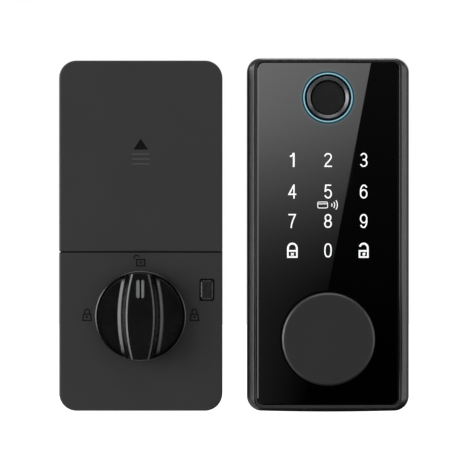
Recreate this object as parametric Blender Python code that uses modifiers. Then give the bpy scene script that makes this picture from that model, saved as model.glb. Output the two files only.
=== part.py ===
"""A keypad smart lock: its interior unit and its exterior unit, side by side with their fronts to -Y.

Both units' door faces lie in the plane Y = 0, and the exterior unit's bottom edge is at Z = 0. Each unit is
modelled in its own frame under an empty: x across, y up from the unit's bottom edge, z out from the door.
"""

import math

import bmesh
import bpy
from mathutils import Matrix, Vector

MM = 0.001
GAP = 0.3 * MM
OVERLAP = 1.0 * MM
SHARP_ANGLE = math.radians(35)
MERGE = 0.000001

# Where the units stand
UNIT_SPACING = 83.9 * MM
INTERIOR_LIFT = 0.9 * MM

# Exterior unit: outside and front
EXT_WIDTH = 72.8 * MM
EXT_HEIGHT = 159.0 * MM
EXT_CORNER = 7.5 * MM
EXT_DEPTH = 21.0 * MM
EXT_SHOULDER = 2.0 * MM
GLASS_WIDTH = 63.3 * MM
GLASS_HEIGHT = 153.5 * MM
GLASS_THICK = 1.8 * MM
GLASS_CORNER = 2.6 * MM
GLASS_FRONT = 20.6 * MM
GLASS_BOTTOM = 3.5 * MM
READER_Y = 141.2 * MM
KNOB_Y = 33.0 * MM

# Exterior unit: inside
GASKET_THICK = 1.5 * MM
PLATE_THICK = 1.5 * MM
EXT_WALL = 3.1 * MM
FLOOR_FRONT = 15.5 * MM
FLOOR_BACK = 13.5 * MM
BOARD_THICK = 1.2 * MM

CONTROL_BACK = 8.0 * MM
USB_SIZE = (8.9 * MM, 7.4 * MM, 3.2 * MM)
USB_Z = 9.6 * MM
BACK_SCREW_SPOTS = ((-27.0 * MM, 9.5 * MM), (27.0 * MM, 149.5 * MM))
CABLE_SPOT = (14.5 * MM, 49.0 * MM)

# Exterior knob and its drive
KNOB_RADIUS = 20.75 * MM
KNOB_FRONT = 33.5 * MM
SHAFT_RADIUS = 6.0 * MM
BORE_RADIUS = SHAFT_RADIUS + GAP
BUSH_RADIUS = 8.0 * MM
WHEEL_RADIUS = 5.2 * MM
HUB_RADIUS = 10.0 * MM
HUB_BORE = 5.6 * MM
CLUTCH_Z = 7.4 * MM
SCREW_PITCH = 0.8 * MM
BLADE_WIDE = 8.0 * MM
BLADE_THICK = 2.0 * MM
BLADE_REACH = 55.0 * MM

# Fixings through the door
POST_SPREAD = 21.0 * MM
POST_REACH = 20.0 * MM
POST_RADIUS = 3.5 * MM
BOLT_RADIUS = 2.0 * MM
BOLT_REACH = 45.0 * MM
SCREW_RADIUS = 1.5 * MM

# Interior unit
INT_WIDTH = 73.0 * MM
INT_HEIGHT = 156.7 * MM
INT_CORNER = 7.8 * MM
INT_DEPTH = 30.0 * MM
INT_EDGE = 0.5 * MM
SEAM_Y = 71.0 * MM
INT_WALL = 2.0 * MM
COVER_WALL = 1.6 * MM
TURN_Y = 42.4 * MM
HOUSING_SCREW_SPOTS = ((-24.0 * MM, 148.0 * MM), (24.0 * MM, 148.0 * MM))
INT_CABLE_SPOT = (0.0, 62.0 * MM)

# Battery tray
TRAY_WIDTH = 66.0 * MM
TRAY_FRONT = 10.4 * MM
TRAY_FLOOR = 1.5 * MM
BAY_Y = 111.5 * MM
BAY_WIDTH = 62.2 * MM
BAY_HEIGHT = 57.0 * MM
BAY_WALL_TOP = 21.0 * MM
CELL_RADIUS = 7.1 * MM
CELL_LENGTH = 50.5 * MM
CELL_PITCH = 15.2 * MM
CELL_Z = TRAY_FRONT + 0.4 * MM + CELL_RADIUS
CONTACT_THICK = 0.4 * MM

# Thumbturn
TURN_RADIUS = 20.35 * MM
TURN_BASE = INT_DEPTH + 0.4 * MM
TURN_FLOOR = 32.8 * MM
TURN_RIM = 34.8 * MM
GRIP_TOP = 47.0 * MM
GRIP_BASE_HALF = (10.15 * MM, 7.65 * MM)
GRIP_TOP_HALF = (6.35 * MM, 3.85 * MM)
POINTER_OFFSET = 12.4 * MM
POINTER_SIZE = (3.8 * MM, 8.4 * MM)

# Set button
BUTTON_X = 29.6 * MM
BUTTON_Y = 54.2 * MM
BUTTON_SIZE = (5.8 * MM, 9.0 * MM)

# Finishes: colour, roughness, metallic
PAINTED_ZINC = ((0.045, 0.045, 0.047), 0.42, 0.3)
DARK_PLASTIC = ((0.040, 0.040, 0.041), 0.55, 0.0)
KNOB_GLOSS = ((0.010, 0.010, 0.011), 0.25, 0.0)
BLACK_GLASS = ((0.004, 0.004, 0.005), 0.04, 0.0)
SATIN_GREY = ((0.030, 0.030, 0.031), 0.40, 0.2)
SENSOR_BLACK = ((0.012, 0.012, 0.013), 0.30, 0.0)
BRIGHT_STEEL = ((0.60, 0.60, 0.61), 0.25, 1.0)
ZINC_PLATE = ((0.55, 0.56, 0.58), 0.38, 1.0)
BRASS = ((0.72, 0.53, 0.24), 0.30, 1.0)
RUBBER = ((0.020, 0.020, 0.020), 0.80, 0.0)
CIRCUIT = ((0.015, 0.12, 0.05), 0.45, 0.0)
MILKY = ((0.80, 0.82, 0.82), 0.50, 0.0)
CYAN_LIGHT = ((0.25, 0.72, 0.82), 0.35, 0.0)
CELL_WRAP = ((0.05, 0.16, 0.32), 0.35, 0.2)
NYLON = ((0.70, 0.69, 0.64), 0.50, 0.0)
MARK_GREY = ((0.30, 0.30, 0.30), 0.45, 0.0)


def clear_scene():
    for obj in list(bpy.data.objects):
        bpy.data.objects.remove(obj, do_unlink=True)


def add_collection(name):
    collection = bpy.data.collections.new(name)
    bpy.context.scene.collection.children.link(collection)
    return collection


clear_scene()
PARTS = add_collection("keypad_smart_lock")
CUTTERS = add_collection("cutters")


def add_unit(name, x, z):
    """The empty that holds one unit: its y runs up and its z runs out from the door."""
    unit = bpy.data.objects.new(name, None)
    unit.location = (x, 0.0, z)
    unit.rotation_euler = (math.pi / 2, 0.0, 0.0)
    PARTS.objects.link(unit)
    return unit


def set_finish(obj, finish):
    colour, roughness, metallic = finish
    material = bpy.data.materials.new(obj.name)
    material.use_nodes = True
    surface = material.node_tree.nodes["Principled BSDF"]
    surface.inputs["Base Color"].default_value = (*colour, 1.0)
    surface.inputs["Roughness"].default_value = roughness
    surface.inputs["Metallic"].default_value = metallic
    obj.data.materials.append(material)


# Shapes, each a new bmesh in the frame of the object that will hold it


def slab(width, height, back, front, corner=0.0, centre=(0.0, 0.0), steps=5, edge=0.0, edge_steps=2):
    """A box between two depths. corner rounds its four upright edges, and edge its front edge."""
    shape = bmesh.new()
    bmesh.ops.create_cube(shape, size=1.0)
    bmesh.ops.scale(shape, vec=(width, height, front - back), verts=shape.verts)
    bmesh.ops.translate(shape, vec=(*centre, (front + back) / 2), verts=shape.verts)
    if corner:
        upright = [e for e in shape.edges if abs(e.verts[0].co.z - e.verts[1].co.z) > (front - back) / 2]
        bmesh.ops.bevel(shape, geom=upright, offset=corner, segments=steps, profile=0.5, affect="EDGES")
    if edge:
        middle = (front + back) / 2
        rim = [e for e in shape.edges if min(v.co.z for v in e.verts) > middle]
        bmesh.ops.bevel(shape, geom=rim, offset=edge, segments=edge_steps, profile=0.5, affect="EDGES")
    return shape


def rod(radius, start, end, centre=(0.0, 0.0), axis="Z", segments=20):
    """A cylinder from start to end along an axis. centre is its place on the other two, in X, Y, Z order."""
    shape = bmesh.new()
    bmesh.ops.create_cone(
        shape,
        cap_ends=True,
        segments=segments,
        radius1=radius,
        radius2=radius,
        depth=end - start,
    )
    middle = (start + end) / 2
    turn = {
        "X": Matrix.Rotation(math.pi / 2, 4, "Y"),
        "Y": Matrix.Rotation(-math.pi / 2, 4, "X"),
        "Z": Matrix.Identity(4),
    }[axis]
    place = {
        "X": Vector((middle, *centre)),
        "Y": Vector((centre[0], middle, centre[1])),
        "Z": Vector((*centre, middle)),
    }[axis]
    bmesh.ops.transform(shape, matrix=Matrix.Translation(place) @ turn, verts=shape.verts)
    return shape


def together(*shapes):
    """Separate shapes as one bmesh."""
    whole = bmesh.new()
    for shape in shapes:
        mesh = bpy.data.meshes.new("shape")
        shape.to_mesh(mesh)
        shape.free()
        whole.from_mesh(mesh)
        bpy.data.meshes.remove(mesh)
    return whole


def loft(outlines):
    """A solid through closed outlines that have the same number of points, from the lowest up."""
    shape = bmesh.new()
    rings = [[shape.verts.new(point) for point in outline] for outline in outlines]
    for lower, upper in zip(rings, rings[1:]):
        for i, vert in enumerate(lower):
            follow = (i + 1) % len(lower)
            shape.faces.new((vert, lower[follow], upper[follow], upper[i]))
    shape.faces.new(reversed(rings[0]))
    shape.faces.new(rings[-1])
    return shape


# Objects


def add_object(name, shape, collection, parent, at):
    mesh = bpy.data.meshes.new(name)
    shape.to_mesh(mesh)
    shape.free()
    obj = bpy.data.objects.new(name, mesh)
    obj.parent = parent
    obj.location = at
    collection.objects.link(obj)
    return obj


def add_part(name, shape, finish, parent, at=(0.0, 0.0, 0.0)):
    part = add_object(name, shape, PARTS, parent, at)
    part.data.shade_smooth()
    part.data.set_sharp_from_angle(angle=SHARP_ANGLE)
    set_finish(part, finish)
    return part


def change(part, shape, operation):
    """A Boolean on part with a hidden helper, which shares the part's frame."""
    helper = add_object(f"{part.name}_{operation.lower()}", shape, CUTTERS, part, (0.0, 0.0, 0.0))
    helper.hide_render = True
    helper.display_type = "WIRE"
    modifier = part.modifiers.new(operation.title(), "BOOLEAN")
    modifier.operation = operation
    modifier.object = helper
    return part


def cut(part, *shapes):
    return change(part, together(*shapes), "DIFFERENCE")


def join(part, *shapes):
    return change(part, together(*shapes), "UNION")


def add_turned(name, profile, finish, parent, at=(0.0, 0.0, 0.0), closed=False, steps=36, axis="Z"):
    """A turned piece. The profile is (radius, height) pairs, running down its outer side."""
    shape = bmesh.new()
    points = [shape.verts.new((radius, 0.0, height)) for radius, height in profile]
    for upper, lower in zip(points, points[1:]):
        shape.edges.new((upper, lower))
    if closed:
        shape.edges.new((points[-1], points[0]))
    part = add_part(name, shape, finish, parent, at)
    if axis == "Y":
        part.rotation_euler = (-math.pi / 2, 0.0, 0.0)
    screw = part.modifiers.new("Turn", "SCREW")
    screw.steps = steps
    screw.render_steps = steps
    screw.use_smooth_shade = True
    screw.use_merge_vertices = True
    screw.merge_threshold = MERGE
    return part


def add_screw(name, at, head_back, tip, parent, radius=SCREW_RADIUS, head_radius=2.9 * MM, head=1.9 * MM):
    """A pan-head screw along z with a cross recess in its head."""
    top = head_back + head
    ease = 0.5 * MM
    profile = (
        (0.0, top),
        (head_radius - ease, top),
        (head_radius, top - ease),
        (head_radius, head_back),
        (radius, head_back),
        (radius, tip + ease),
        (radius - ease, tip),
        (0.0, tip),
    )
    screw = add_turned(name, profile, ZINC_PLATE, parent, at, steps=12)
    slot_wide = 0.7 * MM
    slot_long = 1.3 * head_radius
    depth = 0.6 * head
    cut(screw, slab(slot_long, slot_wide, top - depth, top + OVERLAP))
    return cut(screw, slab(slot_wide, slot_long, top - depth, top + OVERLAP))


def add_clip(name, at, back, front, inner, outer, parent):
    """A retaining clip: a thin ring with a mouth at its lower side."""
    profile = ((inner, front), (outer, front), (outer, back), (inner, back))
    clip = add_turned(name, profile, BRIGHT_STEEL, parent, at, closed=True, steps=20)
    mouth = slab(inner * 1.2, outer, back - OVERLAP, front + OVERLAP, centre=(0.0, -outer))
    return cut(clip, mouth)


# Exterior unit


def make_exterior_housing(unit):
    centre = (0.0, EXT_HEIGHT / 2)
    back = GASKET_THICK + GAP
    housing = add_part(
        "exterior_housing",
        slab(EXT_WIDTH, EXT_HEIGHT, back, EXT_DEPTH, EXT_CORNER, centre, 7, EXT_SHOULDER, 3),
        PAINTED_ZINC,
        unit,
    )
    inner = EXT_CORNER - EXT_WALL
    cavity = slab(
        EXT_WIDTH - 2 * EXT_WALL, EXT_HEIGHT - 2 * EXT_WALL, back - OVERLAP, FLOOR_BACK, inner, centre
    )
    pocket = slab(
        GLASS_WIDTH + 2 * GAP,
        GLASS_HEIGHT + 2 * GAP,
        FLOOR_FRONT,
        EXT_DEPTH + OVERLAP,
        GLASS_CORNER + GAP,
        (0.0, GLASS_BOTTOM + GLASS_HEIGHT / 2),
    )
    cut(housing, cavity, pocket)
    rib_height = 11.0 * MM
    rib_x = 4.0 * MM
    boss_radius = 3.6 * MM
    boss_back = back + PLATE_THICK + GAP
    ribs = [
        slab(1.0 * MM, rib_height, 6.0 * MM, FLOOR_BACK + OVERLAP, centre=(side * rib_x, 51.0 * MM))
        for side in (-1, 1)
    ]
    bosses = [
        rod(boss_radius, boss_back, FLOOR_BACK + OVERLAP, spot, segments=16) for spot in BACK_SCREW_SPOTS
    ]
    board_posts = [
        rod(2.0 * MM, CONTROL_BACK + BOARD_THICK + GAP, FLOOR_BACK + OVERLAP, (x, y), segments=8)
        for x in (-24.0 * MM, 24.0 * MM)
        for y in (86.0 * MM, 122.0 * MM)
    ]
    join(housing, *ribs, *bosses, *board_posts)
    screw_holes = [rod(SCREW_RADIUS + GAP, back, 12.0 * MM, spot, segments=12) for spot in BACK_SCREW_SPOTS]
    floor_holes = [
        rod(10.5 * MM, FLOOR_BACK - OVERLAP, FLOOR_FRONT + OVERLAP, (0.0, READER_Y), segments=24),
        rod(BUSH_RADIUS + GAP, FLOOR_BACK - OVERLAP, FLOOR_FRONT + OVERLAP, (0.0, KNOB_Y), segments=24),
        slab(20.0 * MM, 6.0 * MM, FLOOR_BACK - OVERLAP, FLOOR_FRONT + OVERLAP, 2.0 * MM, (0.0, 75.0 * MM)),
    ]
    port_hole = slab(
        USB_SIZE[0] + 2 * GAP,
        3 * EXT_WALL,
        USB_Z - USB_SIZE[2] / 2 - GAP,
        USB_Z + USB_SIZE[2] / 2 + GAP,
        centre=(0.0, 0.0),
    )
    return cut(housing, *screw_holes, *floor_holes, port_hole)


def make_front_stack(unit):
    """The glass and what lies behind it."""
    glass_centre = (0.0, GLASS_BOTTOM + GLASS_HEIGHT / 2)
    glass_back = GLASS_FRONT - GLASS_THICK
    glass = add_part(
        "glass_panel",
        slab(GLASS_WIDTH, GLASS_HEIGHT, glass_back, GLASS_FRONT, GLASS_CORNER, glass_centre),
        BLACK_GLASS,
        unit,
    )
    cut(
        glass,
        rod(11.5 * MM, glass_back - OVERLAP, GLASS_FRONT + OVERLAP, (0.0, READER_Y), segments=36),
        rod(KNOB_RADIUS + 2 * GAP, glass_back - OVERLAP, GLASS_FRONT + OVERLAP, (0.0, KNOB_Y), segments=48),
    )
    board_back = FLOOR_FRONT + GAP
    board_front = board_back + BOARD_THICK
    board = add_part(
        "touch_circuit_board",
        slab(62.3 * MM, 96.0 * MM, board_back, board_front, 2.0 * MM, (0.0, 106.0 * MM), 3),
        CIRCUIT,
        unit,
    )
    cut(board, rod(12.4 * MM, board_back - OVERLAP, board_front + OVERLAP, (0.0, READER_Y), segments=32))
    guide_back = board_front + GAP
    add_part(
        "keypad_light_guide",
        slab(56.0 * MM, 58.0 * MM, guide_back, glass_back - GAP, 3.0 * MM, (0.0, 94.0 * MM), 3),
        MILKY,
        unit,
    )


def make_fingerprint_reader(unit):
    at = (0.0, READER_Y, 0.0)
    ring = (
        (10.4 * MM, 20.9 * MM),
        (11.2 * MM, 20.9 * MM),
        (11.2 * MM, 18.5 * MM),
        (12.1 * MM, 18.5 * MM),
        (12.1 * MM, 15.9 * MM),
        (10.4 * MM, 15.9 * MM),
    )
    add_turned("fingerprint_light_ring", ring, CYAN_LIGHT, unit, at, closed=True)
    bezel = (
        (9.1 * MM, 20.9 * MM),
        (9.4 * MM, 20.9 * MM),
        (9.7 * MM, 20.6 * MM),
        (9.7 * MM, FLOOR_BACK - GAP),
        (12.5 * MM, FLOOR_BACK - GAP),
        (12.5 * MM, 11.4 * MM),
        (7.8 * MM, 11.4 * MM),
        (7.8 * MM, 19.5 * MM),
    )
    add_turned("fingerprint_bezel", bezel, BRIGHT_STEEL, unit, at, closed=True)
    sensor = (
        (0.0, 19.2 * MM),
        (7.1 * MM, 19.2 * MM),
        (7.4 * MM, 18.9 * MM),
        (7.4 * MM, 11.8 * MM),
        (0.0, 11.8 * MM),
    )
    add_turned("fingerprint_sensor", sensor, SENSOR_BLACK, unit, at)


def make_electronics(unit):
    """The exterior control board, with the parts that stand on its back."""
    centre = (0.0, 104.0 * MM)
    board = add_part(
        "control_circuit_board",
        slab(58.0 * MM, 46.0 * MM, CONTROL_BACK, CONTROL_BACK + BOARD_THICK, 2.0 * MM, centre, 3),
        CIRCUIT,
        unit,
    )
    chip_back = CONTROL_BACK - 1.2 * MM
    chip_front = CONTROL_BACK + BOARD_THICK / 2
    join(
        board,
        slab(12.0 * MM, 12.0 * MM, chip_back, chip_front, centre=(2.0 * MM, 108.0 * MM)),
        slab(7.0 * MM, 5.0 * MM, chip_back, chip_front, centre=(20.0 * MM, 116.0 * MM)),
        slab(5.0 * MM, 5.0 * MM, chip_back, chip_front, centre=(-14.0 * MM, 94.0 * MM)),
    )
    buzzer_front = CONTROL_BACK - GAP
    buzzer = (
        (0.0, buzzer_front),
        (6.0 * MM, buzzer_front),
        (6.0 * MM, 4.4 * MM),
        (5.5 * MM, 3.9 * MM),
        (1.0 * MM, 3.9 * MM),
        (1.0 * MM, 4.9 * MM),
        (0.0, 4.9 * MM),
    )
    add_turned("buzzer", buzzer, SENSOR_BLACK, unit, (-18.0 * MM, 117.0 * MM, 0.0), steps=20)
    socket_at = (14.0 * MM, 88.0 * MM)
    socket = add_part(
        "exterior_cable_socket",
        slab(12.0 * MM, 6.0 * MM, 3.8 * MM, buzzer_front, centre=socket_at),
        NYLON,
        unit,
    )
    cut(socket, slab(10.4 * MM, 4.4 * MM, 3.8 * MM - OVERLAP, 6.6 * MM, centre=socket_at))
    wide, long, high = USB_SIZE
    low, wall = 0.4 * MM, 0.35 * MM
    port = add_part(
        "emergency_usb_port",
        slab(wide, long, USB_Z - high / 2, USB_Z + high / 2, centre=(0.0, low + long / 2)),
        BRIGHT_STEEL,
        unit,
    )
    mouth_height = long - 1.0 * MM + OVERLAP
    cut(
        port,
        slab(
            wide - 2 * wall,
            mouth_height,
            USB_Z - high / 2 + wall,
            USB_Z + high / 2 - wall,
            centre=(0.0, low - OVERLAP + mouth_height / 2),
        ),
    )
    tongue = 0.35 * MM
    join(port, slab(6.6 * MM, 6.0 * MM, USB_Z - tongue, USB_Z + tongue, centre=(0.0, low + long - 3.4 * MM)))


def make_knob(unit):
    """The exterior knob and the pieces that turn with it, on the knob's axis."""
    at = (0.0, KNOB_Y, 0.0)
    rim = 17.3 * MM
    wall = 2.15 * MM
    socket_radius = 9.5 * MM
    chamfer = 0.6 * MM
    profile = (
        (0.0, KNOB_FRONT),
        (KNOB_RADIUS - chamfer, KNOB_FRONT),
        (KNOB_RADIUS, KNOB_FRONT - chamfer),
        (KNOB_RADIUS, rim),
        (KNOB_RADIUS - wall, rim),
        (KNOB_RADIUS - wall, 30.5 * MM),
        (socket_radius, 30.5 * MM),
        (socket_radius, 18.3 * MM),
        (BORE_RADIUS, 18.3 * MM),
        (BORE_RADIUS, 30.7 * MM),
        (0.0, 30.7 * MM),
    )
    knob = add_turned("exterior_knob", profile, SATIN_GREY, unit, at, steps=48)
    grub_z = 22.0 * MM
    cut(knob, rod(SCREW_RADIUS + GAP, 5.0 * MM, 12.0 * MM, (0.0, grub_z), "X", 16))
    grub_shape = rod(SCREW_RADIUS, BORE_RADIUS + GAP, socket_radius - 0.2 * MM, (0.0, grub_z), "X", 16)
    grub = add_part("knob_grub_screw", grub_shape, BRIGHT_STEEL, unit, at)
    cut(grub, rod(0.8 * MM, 8.0 * MM, 10.0 * MM, (0.0, grub_z), "X", 6))
    groove = 4.9 * MM
    shaft_profile = (
        (0.0, 30.4 * MM),
        (SHAFT_RADIUS, 30.4 * MM),
        (SHAFT_RADIUS, 12.7 * MM),
        (groove, 12.7 * MM),
        (groove, 11.5 * MM),
        (SHAFT_RADIUS, 11.5 * MM),
        (SHAFT_RADIUS, 10.4 * MM),
        (WHEEL_RADIUS, 10.4 * MM),
        (WHEEL_RADIUS, 5.5 * MM),
        (0.0, 5.5 * MM),
    )
    shaft = add_turned("knob_shaft", shaft_profile, BRIGHT_STEEL, unit, at, steps=24)
    notch_wide = 3.0 * MM
    notch_floor = 3.8 * MM
    notch_reach = 2 * (WHEEL_RADIUS + OVERLAP)
    notch_depths = (4.5 * MM, 9.9 * MM)
    cut(shaft, slab(notch_reach, notch_wide, *notch_depths))
    cut(shaft, slab(notch_wide, notch_reach, *notch_depths))
    join(shaft, rod(notch_floor, 5.5 * MM, 10.2 * MM, segments=16))
    add_clip("knob_retaining_clip", at, 11.8 * MM, 12.4 * MM, 5.2 * MM, 7.6 * MM, unit)


def make_bush(name, at, unit, back, flange_back, flange_front, front):
    """A flanged bearing bush. The flange is at its front or at its back."""
    flange = BUSH_RADIUS + 1.8 * MM
    if flange_front == front:
        outer = ((flange, front), (flange, flange_back), (BUSH_RADIUS, flange_back), (BUSH_RADIUS, back))
    else:
        outer = ((BUSH_RADIUS, front), (BUSH_RADIUS, flange_front), (flange, flange_front), (flange, back))
    profile = ((BORE_RADIUS, front), *outer, (BORE_RADIUS, back))
    return add_turned(name, profile, BRASS, unit, at, closed=True, steps=24)


def make_clutch(unit):
    """The motor, its screw, the slider it drives and the pin that the slider presses into the shaft."""
    motor_face = 58.5 * MM
    motor_wide, motor_long, motor_deep = 10.0 * MM, 14.0 * MM, 7.6 * MM
    motor_depths = (CLUTCH_Z - motor_deep / 2, CLUTCH_Z + motor_deep / 2)
    motor = add_part(
        "clutch_motor",
        slab(motor_wide, motor_long, *motor_depths, centre=(0.0, motor_face + motor_long / 2)),
        ZINC_PLATE,
        unit,
    )
    rear = motor_face + motor_long
    join(motor, rod(2.0 * MM, rear - OVERLAP, rear + 1.2 * MM, (0.0, CLUTCH_Z), "Y", 16))
    screw_low, screw_high = 49.0 * MM, motor_face - GAP
    crest, root = 1.4 * MM, 1.05 * MM
    profile = [(0.0, screw_high), (root, screw_high)]
    turns = 6
    thread_top = screw_high - 1.6 * MM
    for turn in range(turns):
        height = thread_top - turn * SCREW_PITCH
        profile += [(root, height), (crest, height - SCREW_PITCH / 3), (crest, height - SCREW_PITCH / 2)]
    profile += [(root, screw_low), (0.0, screw_low)]
    add_turned("clutch_screw", profile, BRASS, unit, (0.0, 0.0, CLUTCH_Z), steps=10, axis="Y")
    head_top = KNOB_Y + 9.8 * MM
    slider = add_part(
        "clutch_slider",
        slab(6.0 * MM, 8.5 * MM, CLUTCH_Z - 2.8 * MM, CLUTCH_Z + 2.8 * MM, centre=(0.0, 51.2 * MM)),
        NYLON,
        unit,
    )
    tip = head_top + GAP
    tip_top = 48.0 * MM
    tip_depths = (CLUTCH_Z - 1.1 * MM, CLUTCH_Z + 1.1 * MM)
    join(slider, slab(4.0 * MM, tip_top - tip, *tip_depths, centre=(0.0, (tip + tip_top) / 2)))
    cut(slider, rod(crest + GAP, 48.4 * MM, 57.0 * MM, (0.0, CLUTCH_Z), "Y", 16))
    pin = (
        (0.0, 9.8 * MM),
        (1.1 * MM, 9.8 * MM),
        (1.1 * MM, 8.8 * MM),
        (0.75 * MM, 8.8 * MM),
        (0.75 * MM, 6.2 * MM),
        (0.45 * MM, 5.9 * MM),
        (0.0, 5.9 * MM),
    )
    add_turned("clutch_pin", pin, BRIGHT_STEEL, unit, (0.0, KNOB_Y, CLUTCH_Z), steps=12, axis="Y")


def make_tailpiece(unit):
    at = (0.0, KNOB_Y, 0.0)
    plate_front = GASKET_THICK + GAP + PLATE_THICK
    base = plate_front + GAP
    top = 9.6 * MM
    groove_half = 1.4 * MM
    groove_floor = 6.9 * MM
    socket_end = -1.5 * MM
    profile = (
        (0.0, 5.1 * MM),
        (HUB_BORE, 5.1 * MM),
        (HUB_BORE, top),
        (HUB_RADIUS, top),
        (HUB_RADIUS, CLUTCH_Z + groove_half),
        (groove_floor, CLUTCH_Z + groove_half),
        (groove_floor, CLUTCH_Z - groove_half),
        (HUB_RADIUS, CLUTCH_Z - groove_half),
        (HUB_RADIUS, base),
        (HUB_BORE, base),
        (HUB_BORE, socket_end),
        (0.0, socket_end),
    )
    hub = add_turned("tailpiece_hub", profile, ZINC_PLATE, unit, at, steps=24)
    slot = slab(BLADE_THICK + 2 * GAP, BLADE_WIDE + 2 * GAP, socket_end - OVERLAP, 1.9 * MM)
    cut(hub, slot, rod(1.05 * MM, 5.0 * MM, 8.0 * MM, (0.0, CLUTCH_Z), "Y", 16))
    blade = slab(BLADE_THICK, BLADE_WIDE, -BLADE_REACH, 1.6 * MM)
    tip_edges = []
    for edge in blade.edges:
        start, end = (vert.co for vert in edge.verts)
        if max(start.z, end.z) < 0.0 and abs(start.x - end.x) > MM:
            tip_edges.append(edge)
    bmesh.ops.bevel(blade, geom=tip_edges, offset=2.2 * MM, segments=2, profile=0.5, affect="EDGES")
    add_part("tailpiece", blade, ZINC_PLATE, unit, at)


def make_exterior_back(unit):
    """What meets the door: the plate, its gasket, the grommet, the bolt posts and the screws."""
    centre = (0.0, EXT_HEIGHT / 2)
    back = GASKET_THICK + GAP
    front = back + PLATE_THICK
    inset = 1.2 * MM
    lip = 4.0 * MM
    gasket = add_part(
        "exterior_gasket",
        slab(EXT_WIDTH - 2 * inset, EXT_HEIGHT - 2 * inset, 0.0, GASKET_THICK, EXT_CORNER - inset, centre),
        RUBBER,
        unit,
    )
    inset += lip
    cut(
        gasket,
        slab(
            EXT_WIDTH - 2 * inset,
            EXT_HEIGHT - 2 * inset,
            -OVERLAP,
            GASKET_THICK + OVERLAP,
            EXT_CORNER - inset + MM,
            centre,
        ),
    )
    inset = EXT_WALL + GAP
    plate = add_part(
        "exterior_back_plate",
        slab(EXT_WIDTH - 2 * inset, EXT_HEIGHT - 2 * inset, back, front, EXT_CORNER - inset, centre),
        ZINC_PLATE,
        unit,
    )
    grommet_hole = 6.3 * MM
    through = (back - OVERLAP, front + OVERLAP)
    holes = [
        rod(BUSH_RADIUS - 2 * GAP, *through, (0.0, KNOB_Y), segments=24),
        rod(grommet_hole, *through, CABLE_SPOT, segments=20),
    ]
    holes += [rod(POST_RADIUS + GAP, *through, (side * POST_SPREAD, KNOB_Y)) for side in (-1, 1)]
    holes += [rod(SCREW_RADIUS + GAP, *through, spot, segments=16) for spot in BACK_SCREW_SPOTS]
    cut(plate, *holes)
    grommet = (
        (4.5 * MM, front + 1.5 * MM),
        (7.6 * MM, front + 1.5 * MM),
        (7.6 * MM, front + GAP),
        (grommet_hole - GAP, front + GAP),
        (grommet_hole - GAP, back - GAP),
        (7.6 * MM, back - GAP),
        (7.6 * MM, 0.3 * MM),
        (4.5 * MM, 0.3 * MM),
    )
    add_turned("cable_grommet", grommet, RUBBER, unit, (*CABLE_SPOT, 0.0), closed=True, steps=20)
    post = (
        (0.0, front + 1.9 * MM),
        (5.0 * MM, front + 1.9 * MM),
        (5.0 * MM, front + GAP),
        (POST_RADIUS, front + GAP),
        (POST_RADIUS, -POST_REACH),
        (1.75 * MM, -POST_REACH),
        (1.75 * MM, 1.0 * MM),
        (0.0, 1.0 * MM),
    )
    for side, word in ((-1, "left"), (1, "right")):
        add_turned(f"bolt_post_{word}", post, ZINC_PLATE, unit, (side * POST_SPREAD, KNOB_Y, 0.0), steps=16)
    for spot, word in zip(BACK_SCREW_SPOTS, ("lower", "upper")):
        screw = add_screw(f"back_plate_screw_{word}", (*spot, back), 0.3 * MM, -9.0 * MM, unit, head=1.1 * MM)
        screw.rotation_euler = (math.pi, 0.0, 0.0)


# Interior unit


def full_outline(back, front):
    """The interior unit's whole outline, between two depths."""
    centre = (0.0, INT_HEIGHT / 2)
    return slab(INT_WIDTH, INT_HEIGHT, back, front, INT_CORNER, centre, 7, INT_EDGE, 1)


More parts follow.
